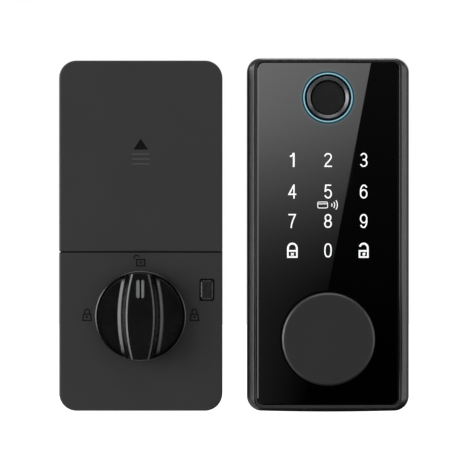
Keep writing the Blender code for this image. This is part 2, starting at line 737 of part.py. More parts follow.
def make_interior_housing(unit):
    """The lower box and the battery tray above it, in one moulding that is open to the door."""
    back = PLATE_THICK + GAP
    housing = add_part("interior_housing", full_outline(back, INT_DEPTH), DARK_PLASTIC, unit)
    above = INT_HEIGHT
    cut(housing, slab(2 * INT_WIDTH, above, -OVERLAP, 2 * INT_DEPTH, centre=(0.0, SEAM_Y + above / 2)))
    tray_top = INT_HEIGHT - COVER_WALL - 0.5 * MM
    tray_corner = INT_CORNER - COVER_WALL - 0.5 * MM
    tray_low = SEAM_Y - tray_corner - OVERLAP
    tray_centre = (0.0, (tray_top + tray_low) / 2)
    tray = slab(TRAY_WIDTH, tray_top - tray_low, back, TRAY_FRONT, tray_corner, tray_centre, 4)
    join(housing, tray)
    bay_outer = slab(
        TRAY_WIDTH, BAY_HEIGHT + 4.0 * MM, TRAY_FRONT - OVERLAP, BAY_WALL_TOP, 1.0 * MM, (0.0, BAY_Y), 2
    )
    rail_size = (2.4 * MM, 74.0 * MM)
    rail_x, rail_y = 33.2 * MM, 111.0 * MM
    rails = [slab(*rail_size, 5.0 * MM, 6.4 * MM, centre=(side * rail_x, rail_y)) for side in (-1, 1)]
    join(housing, bay_outer)
    join(housing, *rails)
    lower_cavity = slab(
        INT_WIDTH - 2 * INT_WALL,
        SEAM_Y - 2 * INT_WALL,
        back - OVERLAP,
        INT_DEPTH - INT_WALL,
        INT_CORNER - INT_WALL,
        (0.0, SEAM_Y / 2),
    )
    upper_low, upper_top = SEAM_Y + INT_WALL, tray_top - INT_WALL
    upper_cavity = slab(
        TRAY_WIDTH - 2 * INT_WALL,
        upper_top - upper_low,
        back - OVERLAP,
        TRAY_FRONT - TRAY_FLOOR,
        tray_corner - INT_WALL,
        (0.0, (upper_low + upper_top) / 2),
        3,
    )
    bay = slab(BAY_WIDTH, BAY_HEIGHT, TRAY_FRONT, BAY_WALL_TOP + OVERLAP, centre=(0.0, BAY_Y))
    cut(housing, lower_cavity, upper_cavity, bay)
    boss_depths = (back, TRAY_FRONT - TRAY_FLOOR / 2)
    join(housing, *[rod(3.4 * MM, *boss_depths, spot, segments=16) for spot in HOUSING_SCREW_SPOTS])
    front_wall = (INT_DEPTH - 2 * INT_WALL, INT_DEPTH + OVERLAP)
    tray_wall = (0.0, TRAY_FRONT + OVERLAP)
    wide, high = (side + 2 * GAP for side in BUTTON_SIZE)
    holes = [rod(SCREW_RADIUS + GAP, *tray_wall, spot, segments=12) for spot in HOUSING_SCREW_SPOTS]
    holes += [
        rod(BUSH_RADIUS + GAP, *front_wall, (0.0, TURN_Y), segments=32),
        slab(wide, high, *front_wall, 0.9 * MM, (BUTTON_X, BUTTON_Y), 2),
        slab(16.0 * MM, 8.0 * MM, 3.0 * MM, 7.5 * MM, centre=(0.0, SEAM_Y)),
    ]
    return cut(housing, *holes)


def make_battery_cover(unit):
    """The cover, open to the back and below, with two lips that run behind the tray's rails."""
    back = PLATE_THICK + 2 * GAP
    cover = add_part("battery_cover", full_outline(back, INT_DEPTH), DARK_PLASTIC, unit)
    below = SEAM_Y + GAP
    cut(cover, slab(2 * INT_WIDTH, 2 * below, -OVERLAP, 2 * INT_DEPTH, centre=(0.0, 0.0)))
    inner_top = INT_HEIGHT - COVER_WALL
    hollow = slab(
        INT_WIDTH - 2 * COVER_WALL,
        inner_top,
        -OVERLAP,
        INT_DEPTH - COVER_WALL,
        INT_CORNER - COVER_WALL,
        (0.0, inner_top / 2),
        7,
    )
    cut(cover, hollow)
    lip_wide, lip_long, lip_deep = 2.2 * MM, 76.0 * MM, 2.4 * MM
    lip_x, lip_y = 34.45 * MM, 112.0 * MM
    lip_depths = (back, back + lip_deep)
    join(cover, *[slab(lip_wide, lip_long, *lip_depths, centre=(side * lip_x, lip_y)) for side in (-1, 1)])
    line_size = (7.9 * MM, 0.55 * MM)
    lines = [
        slab(*line_size, INT_DEPTH - OVERLAP, INT_DEPTH + 0.25 * MM, centre=(0.0, height))
        for height in (110.4 * MM, 112.6 * MM, 114.8 * MM)
    ]
    join(cover, *lines)
    half_wide, high, low = 3.3 * MM, 4.85 * MM, 116.9 * MM
    depths = (INT_DEPTH - 0.4 * MM, INT_DEPTH + OVERLAP)
    corners = ((-half_wide, low), (half_wide, low), (0.0, low + high))
    return cut(cover, loft([[(x, y, depth) for x, y in corners] for depth in depths]))


def make_batteries(unit):
    """Four cells that point up and down in turn, with a spring at each flat end."""
    nub_radius, nub_high = 2.6 * MM, 1.3 * MM
    body = CELL_LENGTH - nub_high
    ease = 0.5 * MM
    profile = (
        (0.0, CELL_LENGTH),
        (nub_radius, CELL_LENGTH),
        (nub_radius, body),
        (CELL_RADIUS - ease, body),
        (CELL_RADIUS, body - ease),
        (CELL_RADIUS, ease),
        (CELL_RADIUS - ease, 0.0),
        (0.0, 0.0),
    )
    low = BAY_Y - BAY_HEIGHT / 2 + CONTACT_THICK + 2 * GAP
    high = BAY_Y + BAY_HEIGHT / 2 - CONTACT_THICK - 2 * GAP
    for i in range(4):
        x = (i - 1.5) * CELL_PITCH
        upright = i % 2 == 0
        cell = add_turned(
            f"battery_{i + 1}",
            profile,
            CELL_WRAP,
            unit,
            (x, high - CELL_LENGTH if upright else low + CELL_LENGTH, CELL_Z),
            steps=24,
            axis="Y",
        )
        if not upright:
            cell.rotation_euler = (math.pi / 2, 0.0, 0.0)
        if upright:
            ends = (low, high - CELL_LENGTH - GAP)
        else:
            ends = (high, low + CELL_LENGTH + GAP)
        add_battery_spring(f"battery_spring_{i + 1}", unit, x, *ends)


def add_battery_spring(name, unit, x, base, tip):
    """A conical coil from the contact plate to the cell's flat end."""
    wire = 0.35 * MM
    wide, narrow, coils, per_coil = 5.0 * MM, 3.0 * MM, 3, 10
    start = base + math.copysign(wire, tip - base)
    end = tip - math.copysign(wire, tip - base)
    count = coils * per_coil + 1
    curve = bpy.data.curves.new(name, "CURVE")
    curve.dimensions = "3D"
    curve.bevel_depth = wire
    curve.bevel_resolution = 1
    curve.use_fill_caps = True
    spline = curve.splines.new("POLY")
    spline.points.add(count - 1)
    for i, point in enumerate(spline.points):
        share = i / (count - 1)
        angle = share * coils * math.tau
        radius = wide + (narrow - wide) * share
        point.co = (radius * math.cos(angle), start + (end - start) * share, radius * math.sin(angle), 1.0)
    spring = bpy.data.objects.new(name, curve)
    spring.parent = unit
    spring.location = (x, 0.0, CELL_Z)
    PARTS.objects.link(spring)
    set_finish(spring, BRIGHT_STEEL)


def make_contacts(unit):
    """The plates that join the cells in series, against the bay's end walls."""
    single, double = 12.4 * MM, CELL_PITCH + 12.4 * MM
    low = BAY_Y - BAY_HEIGHT / 2 + GAP
    high = BAY_Y + BAY_HEIGHT / 2 - GAP - CONTACT_THICK
    back, front = TRAY_FRONT + 0.6 * MM, 20.5 * MM
    plates = (
        ("bottom_left", -CELL_PITCH, double, low),
        ("bottom_right", CELL_PITCH, double, low),
        ("top_left", -1.5 * CELL_PITCH, single, high),
        ("top_middle", 0.0, double, high),
        ("top_right", 1.5 * CELL_PITCH, single, high),
    )
    for word, x, wide, y in plates:
        add_part(
            f"battery_contact_{word}",
            slab(wide, CONTACT_THICK, back, front, centre=(x, y + CONTACT_THICK / 2)),
            BRIGHT_STEEL,
            unit,
        )


def grip_outline(half, corner_radius, height):
    """The grip's outline at one height: sides that swell at the middle, and ends along a circle."""
    middle, end = half
    reach = math.sqrt(corner_radius**2 - end**2)
    side_steps, end_steps = 8, 4
    right = []
    for i in range(side_steps + 1):
        share = 2 * i / side_steps - 1
        right.append((end + (middle - end) * (1 - share**2), share * reach))
    top = []
    for i in range(1, end_steps):
        x = end * (1 - 2 * i / end_steps)
        top.append((x, math.sqrt(corner_radius**2 - x**2)))
    half_turn = right + top
    return [(x, y, height) for x, y in half_turn] + [(-x, -y, height) for x, y in half_turn]


def make_thumbturn(unit):
    """The thumbturn and the pieces that turn with it, on its own axis."""
    at = (0.0, TURN_Y, 0.0)
    profile = (
        (0.0, TURN_FLOOR),
        (18.4 * MM, TURN_FLOOR),
        (19.5 * MM, TURN_RIM - 0.5 * MM),
        (19.8 * MM, TURN_RIM),
        (20.1 * MM, TURN_RIM - 0.1 * MM),
        (TURN_RADIUS, TURN_BASE + 1.2 * MM),
        (TURN_RADIUS, TURN_BASE),
        (0.0, TURN_BASE),
    )
    turn = add_turned("thumbturn", profile, KNOB_GLOSS, unit, at, steps=48)
    edge = 1.2 * MM
    shrink = 0.5 * MM
    outer = TURN_RADIUS - 0.2 * MM
    inner = outer - 0.8 * MM
    top_half = tuple(value - shrink for value in GRIP_TOP_HALF)
    grip = loft(
        [
            grip_outline(GRIP_BASE_HALF, outer, TURN_BASE + OVERLAP),
            grip_outline(GRIP_BASE_HALF, outer, TURN_FLOOR + OVERLAP),
            grip_outline(GRIP_TOP_HALF, inner, GRIP_TOP - edge),
            grip_outline(top_half, inner - shrink, GRIP_TOP),
        ]
    )
    join(turn, grip)
    groove = slab(
        POINTER_SIZE[0] + 2 * GAP,
        POINTER_SIZE[1] + 2 * GAP,
        GRIP_TOP - 1.5 * MM,
        GRIP_TOP + OVERLAP,
        POINTER_SIZE[0] / 2,
        (0.0, POINTER_OFFSET),
        4,
    )
    socket = rod(BORE_RADIUS, TURN_BASE - OVERLAP, 38.0 * MM, segments=32)
    cut(turn, groove, socket)
    inlay_front = GRIP_TOP - GAP
    inlay = add_part(
        "pointer_inlay",
        slab(*POINTER_SIZE, inlay_front - 0.9 * MM, inlay_front, 1.8 * MM, (0.0, POINTER_OFFSET), 4),
        MARK_GREY,
        unit,
        at,
    )
    slit_depths = (inlay_front - 0.5 * MM, inlay_front + OVERLAP)
    cut(inlay, slab(0.7 * MM, 2 * POINTER_SIZE[1], *slit_depths, centre=(0.0, POINTER_OFFSET)))
    groove_radius = 4.9 * MM
    spindle_profile = (
        (0.0, 37.7 * MM),
        (SHAFT_RADIUS, 37.7 * MM),
        (SHAFT_RADIUS, 25.7 * MM),
        (groove_radius, 25.7 * MM),
        (groove_radius, 24.3 * MM),
        (SHAFT_RADIUS, 24.3 * MM),
        (SHAFT_RADIUS, 0.6 * MM),
        (0.0, 0.6 * MM),
    )
    spindle = add_turned("thumbturn_spindle", spindle_profile, ZINC_PLATE, unit, at, steps=24)
    cut(spindle, slab(BLADE_THICK + 2 * GAP, BLADE_WIDE + 2 * GAP, -OVERLAP, 14.0 * MM))
    add_clip("thumbturn_retaining_clip", at, 24.6 * MM, 25.4 * MM, 5.2 * MM, 8.4 * MM, unit)
    cam_back, cam_front = 15.0 * MM, 18.5 * MM
    cam_radius = 10.5 * MM
    cam_profile = (
        (BORE_RADIUS, cam_front),
        (cam_radius, cam_front),
        (cam_radius, cam_back),
        (BORE_RADIUS, cam_back),
    )
    cam = add_turned("position_cam", cam_profile, NYLON, unit, at, closed=True, steps=24)
    cut(cam, rod(2.0 * MM, cam_back - OVERLAP, cam_front + OVERLAP, (0.0, cam_radius), segments=16))


def make_button_and_switches(unit):
    front = INT_DEPTH - 0.1 * MM
    wide, high = BUTTON_SIZE
    spot = (BUTTON_X, BUTTON_Y)
    cap = slab(wide, high, 24.5 * MM, front, 0.8 * MM, spot, 2, 0.25 * MM, 1)
    button = add_part("set_button", cap, DARK_PLASTIC, unit)
    collar = 1.0 * MM
    stem_tip = 13.0 * MM
    join(button, slab(wide + 2 * collar, high + 2 * collar, 25.4 * MM, 26.6 * MM, centre=spot))
    join(button, rod(1.5 * MM, stem_tip, 25.0 * MM, spot, segments=16))
    board_back, board_front = 6.5 * MM, 7.7 * MM
    board = slab(10.0 * MM, 22.0 * MM, board_back, board_front, 1.0 * MM, (28.6 * MM, 51.0 * MM), 2)
    switch = add_part("set_switch", board, CIRCUIT, unit)
    body_top = 10.6 * MM
    join(switch, slab(6.0 * MM, 6.0 * MM, board_front - 0.5 * MM, body_top, centre=spot))
    join(switch, rod(1.6 * MM, body_top - 0.5 * MM, stem_tip - 1.2 * MM - GAP, spot, segments=16))
    cam_low = TURN_Y - 10.5 * MM
    body_y = cam_low - 6.0 * MM
    position = add_part(
        "position_switch",
        slab(12.8 * MM, 6.5 * MM, 13.8 * MM, 19.8 * MM, centre=(0.0, body_y)),
        SENSOR_BLACK,
        unit,
    )
    join(position, rod(0.9 * MM, body_y, cam_low - GAP, (0.0, 16.8 * MM), "Y", 12))


def make_main_board(unit):
    back = 5.2 * MM
    front = back + BOARD_THICK
    outline = slab(54.0 * MM, 62.0 * MM, back, front, 2.0 * MM, (0.0, 112.0 * MM), 3)
    board = add_part("main_circuit_board", outline, CIRCUIT, unit)
    chips = (
        (16.0, 18.0, -12.0, 124.0),
        (9.0, 9.0, 12.0, 108.0),
        (6.0, 4.0, -16.0, 98.0),
        (14.0, 6.0, 10.0, 88.0),
    )
    shapes = [
        slab(wide * MM, high * MM, front - 0.5 * MM, front + 1.4 * MM, centre=(x * MM, y * MM))
        for wide, high, x, y in chips
    ]
    return join(board, *shapes)


def make_mounting_plate(unit):
    plate = add_part(
        "interior_mounting_plate",
        slab(65.0 * MM, 148.0 * MM, 0.0, PLATE_THICK, 5.0 * MM, (0.0, INT_HEIGHT / 2)),
        ZINC_PLATE,
        unit,
    )
    through = (-OVERLAP, PLATE_THICK + OVERLAP)
    holes = [
        rod(7.4 * MM, *through, (0.0, TURN_Y), segments=24),
        slab(14.0 * MM, 9.0 * MM, *through, 3.0 * MM, INT_CABLE_SPOT, 3),
    ]
    holes += [rod(BOLT_RADIUS + GAP, *through, (side * POST_SPREAD, TURN_Y), segments=12) for side in (-1, 1)]
    holes += [rod(SCREW_RADIUS + GAP, *through, spot, segments=12) for spot in HOUSING_SCREW_SPOTS]
    cut(plate, *holes)
    for side, word in ((-1, "left"), (1, "right")):
        add_screw(
            f"through_bolt_{word}",
            (side * POST_SPREAD, TURN_Y, 0.0),
            PLATE_THICK + GAP,
            -BOLT_REACH,
            unit,
            BOLT_RADIUS,
            3.6 * MM,
            2.4 * MM,
        )
    for spot, word in zip(HOUSING_SCREW_SPOTS, ("left", "right")):
        add_screw(f"housing_screw_{word}", (*spot, 0.0), TRAY_FRONT + GAP, 0.2 * MM, unit)


def main():
    exterior = add_unit("exterior_unit", UNIT_SPACING / 2, 0.0)
    make_exterior_housing(exterior)
    make_front_stack(exterior)
    make_fingerprint_reader(exterior)
    make_electronics(exterior)
    make_knob(exterior)
    make_bush(
        "knob_bushing",
        (0.0, KNOB_Y, 0.0),
        exterior,
        FLOOR_BACK - 0.5 * MM,
        FLOOR_FRONT + GAP,
        FLOOR_FRONT + 1.3 * MM,
        FLOOR_FRONT + 1.3 * MM,
    )
    make_clutch(exterior)
    make_tailpiece(exterior)
    make_exterior_back(exterior)

    interior = add_unit("interior_unit", -UNIT_SPACING / 2, INTERIOR_LIFT)
    make_interior_housing(interior)
    make_battery_cover(interior)
    make_batteries(interior)
    make_contacts(interior)
    make_thumbturn(interior)
    inner_face = INT_DEPTH - INT_WALL
    make_bush(
        "thumbturn_bushing",
        (0.0, TURN_Y, 0.0),
        interior,
        inner_face - 1.8 * MM,
        inner_face - 1.8 * MM,
        inner_face - GAP,
        INT_DEPTH,
    )
    make_button_and_switches(interior)
    make_main_board(interior)
    make_mounting_plate(interior)


main()
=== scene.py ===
"""The looks of the keypad smart lock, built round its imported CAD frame.

Shapes are in millimetres in each unit's own frame: x across, y up from the unit's bottom edge and z out from
the door. A unit's matrix then brings them into the frame's metres.
"""

from math import copysign, cos, hypot, pi, radians, sin, sqrt, tau

import bmesh
import bpy
from mathutils import Matrix, Vector


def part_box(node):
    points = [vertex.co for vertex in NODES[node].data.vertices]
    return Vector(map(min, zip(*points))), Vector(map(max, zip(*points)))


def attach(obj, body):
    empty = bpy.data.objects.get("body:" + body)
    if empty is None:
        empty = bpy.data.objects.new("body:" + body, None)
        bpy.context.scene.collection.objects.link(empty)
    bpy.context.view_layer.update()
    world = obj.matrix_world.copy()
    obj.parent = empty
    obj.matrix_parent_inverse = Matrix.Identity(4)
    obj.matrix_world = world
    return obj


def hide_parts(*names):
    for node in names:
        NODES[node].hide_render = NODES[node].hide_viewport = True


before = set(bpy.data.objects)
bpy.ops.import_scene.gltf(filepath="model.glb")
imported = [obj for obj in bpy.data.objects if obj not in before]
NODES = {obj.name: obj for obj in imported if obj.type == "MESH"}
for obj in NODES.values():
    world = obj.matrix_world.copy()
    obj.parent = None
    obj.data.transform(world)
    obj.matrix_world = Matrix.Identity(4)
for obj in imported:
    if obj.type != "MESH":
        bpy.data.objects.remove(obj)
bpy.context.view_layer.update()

MM = 0.001
SEAM = 0.3
WELD = 0.002
SHARP = radians(22)
TURNED_STEPS = 128
WHITE = (1, 1, 1, 1)

# Materials --------


def feed(tree, socket, value):
    """Gives a socket a value, or another node's output."""
    if isinstance(value, bpy.types.NodeSocket):
        tree.links.new(value, socket)
    else:
        socket.default_value = value


def configure(thing, settings):
    for name, value in settings.items():
        setattr(thing, name, value)


def add_node(tree, kind, inputs=(), **settings):
    node = tree.nodes.new(kind)
    configure(node, settings)
    for socket, value in dict(inputs).items():
        feed(tree, node.inputs[socket], value)
    return node


def add_ramp(tree, factor, stops, interpolation="LINEAR"):
    node = add_node(tree, "ShaderNodeValToRGB", {"Fac": factor})
    ramp = node.color_ramp
    ramp.interpolation = interpolation
    while len(ramp.elements) < len(stops):
        ramp.elements.new(0.5)
    for element, (position, colour) in zip(ramp.elements, stops):
        element.position = position
        element.color = (*colour, 1)
    return node.outputs["Color"]


class Look:
    """A node material under construction: a Principled shader and what feeds it."""

    def __init__(self, name, colour, roughness, metallic=0, **sockets):
        self.material = bpy.data.materials.new(name)
        self.material.use_nodes = True
        self.tree = self.material.node_tree
        self.shader = self.tree.nodes["Principled BSDF"]
        self.colour = colour
        self.roughness = roughness
        self.set(Base_Color=(*colour, 1), Roughness=roughness, Metallic=metallic, **sockets)
        self.place = self.add("ShaderNodeTexCoord").outputs["Object"]

    def set(self, **sockets):
        for name, value in sockets.items():
            feed(self.tree, self.shader.inputs[name.replace("_", " ")], value)
        return self

    def add(self, kind, inputs=(), **settings):
        return add_node(self.tree, kind, inputs, **settings)

    def noise(self, scale, detail=3, stretch=(1, 1, 1)):
        """Noise with scale features per metre. stretch packs them closer along an axis."""
        place = self.add("ShaderNodeMapping", {"Vector": self.place, "Scale": stretch}).outputs["Vector"]
        inputs = {"Vector": place, "Scale": scale, "Detail": detail}
        return self.add("ShaderNodeTexNoise", inputs).outputs["Fac"]

    def between(self, factor, low, high, start=0.3, end=0.7):
        """A value that runs from low to high as factor runs from start to end."""
        inputs = {"Value": factor, "From Min": start, "From Max": end, "To Min": low, "To Max": high}
        return self.add("ShaderNodeMapRange", inputs).outputs["Result"]

    def ramp(self, factor, stops, interpolation="LINEAR"):
        return add_ramp(self.tree, factor, stops, interpolation)

    def tint(self, factor, spread):
        """Colour that varies by a share of itself, from nearly dark to nearly light patches."""
        low = tuple(c * (1 - spread) for c in self.colour)
        high = tuple(c * (1 + spread) for c in self.colour)
        return self.set(Base_Color=self.ramp(factor, ((0.3, low), (0.7, high))))

    def rough(self, factor, spread):
        return self.set(Roughness=self.between(factor, self.roughness - spread, self.roughness + spread))

    def bump(self, factor, depth, strength=0.6):
        """Relief of a depth in millimetres."""
        relief = {"Strength": strength, "Distance": depth * MM, "Height": factor}
        return self.set(Normal=self.add("ShaderNodeBump", relief).outputs["Normal"])


def grained(name, colour, roughness, grain, depth, spread=0.06, **sockets):
    """Plastic, paint or rubber: a fine even grain, and slow changes in tone and gloss."""
    look = Look(name, colour, roughness, **sockets)
    look.tint(look.noise(45), spread).rough(look.noise(grain / 3), 0.04)
    return look.bump(look.noise(grain), depth).material


def brushed(name, colour, roughness, stretch, spread=0.10):
    """Metal with fine lines across the axis that stretch packs."""
    look = Look(name, colour, roughness, 1)
    lines = look.noise(90, 5, stretch)
    return look.tint(look.noise(60), spread).rough(lines, 0.10).bump(lines, 0.012, 0.4).material


def plated(name, colour, roughness):
    """Zinc plating: soft blotches from cloudy to bright."""
    look = Look(name, colour, roughness, 1)
    look.tint(look.noise(260, 6), 0.14).rough(look.noise(900), 0.09)
    return look.bump(look.noise(2600), 0.006, 0.4).material


def from_reader(look, inner, outer):
    """How far a point lies from the reader's axis: 0 at the inner radius, 1 at the outer one."""

    def vector(operation, *inputs):
        return look.add("ShaderNodeVectorMath", dict(enumerate(inputs)), operation=operation)

    low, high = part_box("fingerprint_sensor")
    axis = ((low.x + high.x) / 2, 0, (low.z + high.z) / 2)
    offset = vector("SUBTRACT", look.place, axis).outputs["Vector"]
    flat = vector("MULTIPLY", offset, (1 / MM, 0, 1 / MM)).outputs["Vector"]
    return look.between(vector("LENGTH", flat).outputs["Value"], 0, 1, inner, outer)


def touch_glass():
    """Black-backed polished glass, wiped with the faintest haze, with a painted teal glow round the reader's
    ring.
    """
    look = Look("black_glass", (0.0003, 0.0003, 0.0003), 0.006)
    teal, black = (0.004, 0.034, 0.048), (0, 0, 0)
    # painted glow: teal emission on the glass just outside the ring, fading to black
    painted_glow = look.ramp(from_reader(look, RING_OUTER, RING_OUTER + HALO), ((0, teal), (1, black)))
    look.set(Emission_Color=painted_glow, Emission_Strength=1)
    return look.tint(look.noise(30), 0.1).rough(look.noise(22, 2, (1, 1, 2.5)), 0.004).material


def lit_ring():
    """The reader's lit ring: brightest along the middle of its stroke, and teal at its edges."""
    look = Look("cyan_light", (0.02, 0.07, 0.09), 0.35)
    across = from_reader(look, RING_INNER - 0.1, RING_OUTER + 0.1)
    teal, cyan = (0.012, 0.10, 0.15), (0.62, 0.90, 0.94)
    glow = look.ramp(across, ((0.22, teal), (0.5, cyan), (0.56, cyan), (0.8, teal)))
    return look.set(Emission_Color=glow, Emission_Strength=0.72).tint(look.noise(400), 0.1).material


def backlit_white():
    look = Look("legend_white", (0.50, 0.51, 0.52), 0.5, Emission_Color=WHITE, Emission_Strength=0.5)
    return look.tint(look.noise(500), 0.03).material


def circuit_board():
    """Solder mask over a dense run of traces."""
    look = Look("circuit", (0.012, 0.10, 0.045), 0.38)
    layout = {"Vector": look.place, "Scale": 260, "Mortar Size": 0.04}
    traces = look.add("ShaderNodeTexBrick", layout).outputs["Fac"]
    green, light = (0.010, 0.085, 0.038), (0.035, 0.19, 0.085)
    return look.set(Base_Color=look.ramp(traces, ((0, green), (1, light)))).bump(traces, 0.02).material


def cell_label(name, foot, head):
    """A battery's sleeve: dark, with a copper band at its nub's end."""
    look = Look(name, (0.02, 0.022, 0.026), 0.28, Coat_Weight=0.4)
    parts = look.add("ShaderNodeSeparateXYZ", {"Vector": look.place})
    height = look.between(parts.outputs["Z"], 0, 1, foot, head)
    dark, grey, copper = (0.012, 0.013, 0.016), (0.30, 0.31, 0.32), (0.55, 0.26, 0.10)
    bands = ((0, dark), (0.09, grey), (0.12, dark), (0.68, copper), (0.90, dark))
    look.set(Base_Color=look.ramp(height, bands, "CONSTANT"))
    return look.rough(look.noise(600), 0.05).material


# Shapes: each returns a bmesh in millimetres --------


def arc(centre, radii, start, end, steps):
    """Points along an ellipse's arc, with its angles in degrees."""
    points = []
    for i in range(steps + 1):
        angle = radians(start + (end - start) * i / steps)
        points.append((centre[0] + radii[0] * cos(angle), centre[1] + radii[1] * sin(angle)))
    return points


def rounded(left, right, low, high, corner, steps=12):
    """A rounded rectangle's outline, counter-clockwise from its right edge."""
    x_low, x_high, y_low, y_high = left + corner, right - corner, low + corner, high - corner
    points = []
    for i, centre in enumerate(((x_high, y_high), (x_low, y_high), (x_low, y_low), (x_high, y_low))):
        points += arc(centre, (corner, corner), 90 * i, 90 * i + 90, steps)
    return points


def around(centre, width, height, corner, steps=12):
    x, y = centre
    return rounded(x - width / 2, x + width / 2, y - height / 2, y + height / 2, corner, steps)


def raise_to(outline, height):
    return [(x, y, height) for x, y in outline]


def skin(shape, rows, closed=False):
    """Faces from each row of vertices to the next. A row of one vertex is a pole."""
    pairs = list(zip(rows, rows[1:]))
    if closed:
        pairs.append((rows[-1], rows[0]))
    for lower, upper in pairs:
        steps, feet, heads = max(len(lower), len(upper)), len(lower), len(upper)
        for i in range(steps):
            j = (i + 1) % steps
            corners = (lower[i % feet], lower[j % feet], upper[j % heads], upper[i % heads])
            shape.faces.new(dict.fromkeys(corners))
    bmesh.ops.recalc_face_normals(shape, faces=shape.faces)
    return shape


def loft(rings):
    """A capped skin through rings of points."""
    shape = bmesh.new()
    rows = [[shape.verts.new(point) for point in ring] for ring in rings]
    shape.faces.new(reversed(rows[0]))
    shape.faces.new(rows[-1])
    return skin(shape, rows)


def prism(outline, back, front):
    return loft([raise_to(outline, back), raise_to(outline, front)])


def block(left, right, low, high, back, front):
    return prism(rounded(left, right, low, high, 0.1, 1), back, front)


def plate(outline_at, back, front, edge):
    """A plate whose front and back edges are eased. outline_at gives its outline at an inset."""
    ease = edge * 0.3
    insets = ((edge, 0), (ease, ease), (0, edge))
    rings = [raise_to(outline_at(inset), back + rise) for inset, rise in insets]
    return loft(rings + [raise_to(outline_at(inset), front - rise) for inset, rise in reversed(insets)])


def turned(profile, centre=(0, 0), steps=TURNED_STEPS, closed=False):
    """A turned shape about z. A point at radius 0 is a pole; a closed profile is a ring's section."""
    shape = bmesh.new()
    rows = []
    for radius, height in profile:
        points = [centre] if radius < MM else arc(centre, (radius, radius), 0, 360 - 360 / steps, steps - 1)
        rows.append([shape.verts.new((x, y, height)) for x, y in points])
    return skin(shape, rows, closed)


def below(radius, height, *steps):
    """Profile points, each some way in from a radius and down from a height."""
    return [(radius - inwards, height - down) for inwards, down in steps]


def post(radius, back, front, centre=(0, 0), steps=32):
    return turned(((0, front), (radius, front), (radius, back), (0, back)), centre, steps)


def ribbon(path, width, back, front, closed=False):
    """A flat stroke of constant width along a path."""
    shape = bmesh.new()
    rows = []
    count = len(path)
    for i in range(count):
        here = Vector(path[i])
        legs = []
        if closed or i > 0:
            legs.append((here - Vector(path[i - 1])).normalized())
        if closed or i < count - 1:
            legs.append((Vector(path[(i + 1) % count]) - here).normalized())
        along = (legs[0] + legs[-1]).normalized()
        reach = width / 2 / max(along.dot(legs[0]), 0.35)
        side = Vector((-along.y, along.x)) * reach
        left, right = here + side, here - side
        corners = ((*left, back), (*right, back), (*right, front), (*left, front))
        rows.append([shape.verts.new(corner) for corner in corners])
    if not closed:
        shape.faces.new(rows[0])
        shape.faces.new(rows[-1])
    return skin(shape, rows, closed)


def coil(start, end, radii, wire, coils, per_coil=28, sides=10):
    """A conical spring's wire, between two points (x, y, z) whose axis runs along y."""
    count = coils * per_coil
    up = Vector((0, 1, 0))
    turns = [tau * k / sides for k in range(sides)]
    rings = []
    for i in range(count + 1):
        share = i / count
        angle = share * coils * tau
        outward = Vector((cos(angle), 0, sin(angle)))
        centre = start.lerp(end, share) + outward * (radii[0] + (radii[1] - radii[0]) * share)
        rings.append([centre + (outward * cos(turn) + up * sin(turn)) * wire for turn in turns])
    return loft(rings)


def moved(shape, x=0, y=0, z=0):
    bmesh.ops.translate(shape, vec=(x, y, z), verts=shape.verts)
    return shape


def stood_up(shape, at=(0, 0, 0)):
    """A shape about z, turned to lie about y, at a place."""
    matrix = Matrix.Translation(at) @ Matrix.Rotation(-pi / 2, 4, "X")
    bmesh.ops.transform(shape, matrix=matrix, verts=shape.verts)
    return shape


def coloured(shape, index):
    for face in shape.faces:
        face.material_index = index
    return shape


def as_mesh(shape):
    mesh = bpy.data.meshes.new("shape")
    shape.to_mesh(mesh)
    shape.free()
    return mesh


def together(shapes):
    whole = bmesh.new()
    for shape in shapes:
        mesh = as_mesh(shape)
        whole.from_mesh(mesh)
        bpy.data.meshes.remove(mesh)
    return whole


def add_object(name, mesh):
    obj = bpy.data.objects.new(name, mesh)
    bpy.context.scene.collection.objects.link(obj)
    return obj


def modify(obj, kind, **settings):
    configure(obj.modifiers.new(kind.title(), kind), settings)


def combine(shape, operation, *tools):
    """The Boolean of a shape with each tool in turn. Faces keep the material index that they had."""
    body = add_object("body", as_mesh(shape))
    for tool in tools:
        helper = add_object("helper", as_mesh(tool))
        modify(body, "BOOLEAN", operation=operation, solver="EXACT", material_mode="INDEX", object=helper)
        result = bpy.data.meshes.new_from_object(body.evaluated_get(bpy.context.evaluated_depsgraph_get()))
        body.modifiers.clear()
        old, body.data = body.data, result
        bpy.data.meshes.remove(old)
        bpy.data.meshes.remove(helper.data)
    result = bmesh.new()
    result.from_mesh(body.data)
    bpy.data.meshes.remove(body.data)
    bmesh.ops.remove_doubles(result, verts=result.verts, dist=WELD)
    bmesh.ops.dissolve_degenerate(result, dist=WELD, edges=result.edges)
    return result


def carve(shape, *tools):
    return combine(shape, "DIFFERENCE", *tools)


def fuse(shape, *tools):
    return combine(shape, "UNION", *tools)


# Pieces --------


def smooth(obj, bevel=0):
    """Smooth shading with crisp edges, and flat faces that stay flat."""
    if bevel:
        modify(obj, "BEVEL", width=bevel * MM, segments=2, limit_method="ANGLE", angle_limit=SHARP)
    modify(obj, "WEIGHTED_NORMAL", keep_sharp=True, weight=80)


def add_piece(name, shape, unit, looks, replaces=(), body="root"):
    """A finished piece that rides on a body. looks holds one material per material index."""
    mesh = as_mesh(shape)
    mesh.name = name
    mesh.transform(unit)
    mesh.shade_smooth()
    mesh.set_sharp_from_angle(angle=SHARP)
    for look in looks:
        mesh.materials.append(look)
    obj = add_object(name, mesh)
    smooth(obj)
    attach(obj, body)
    if replaces:
        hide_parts(*replaces)


def dress(node, look, bevel):
    """A CAD node that is shown as it is, with its own material and eased edges."""
    obj = NODES[node]
    obj.data.materials.clear()
    obj.data.materials.append(look)
    modify(obj, "WELD", merge_threshold=MM / 1000)
    smooth(obj, bevel)


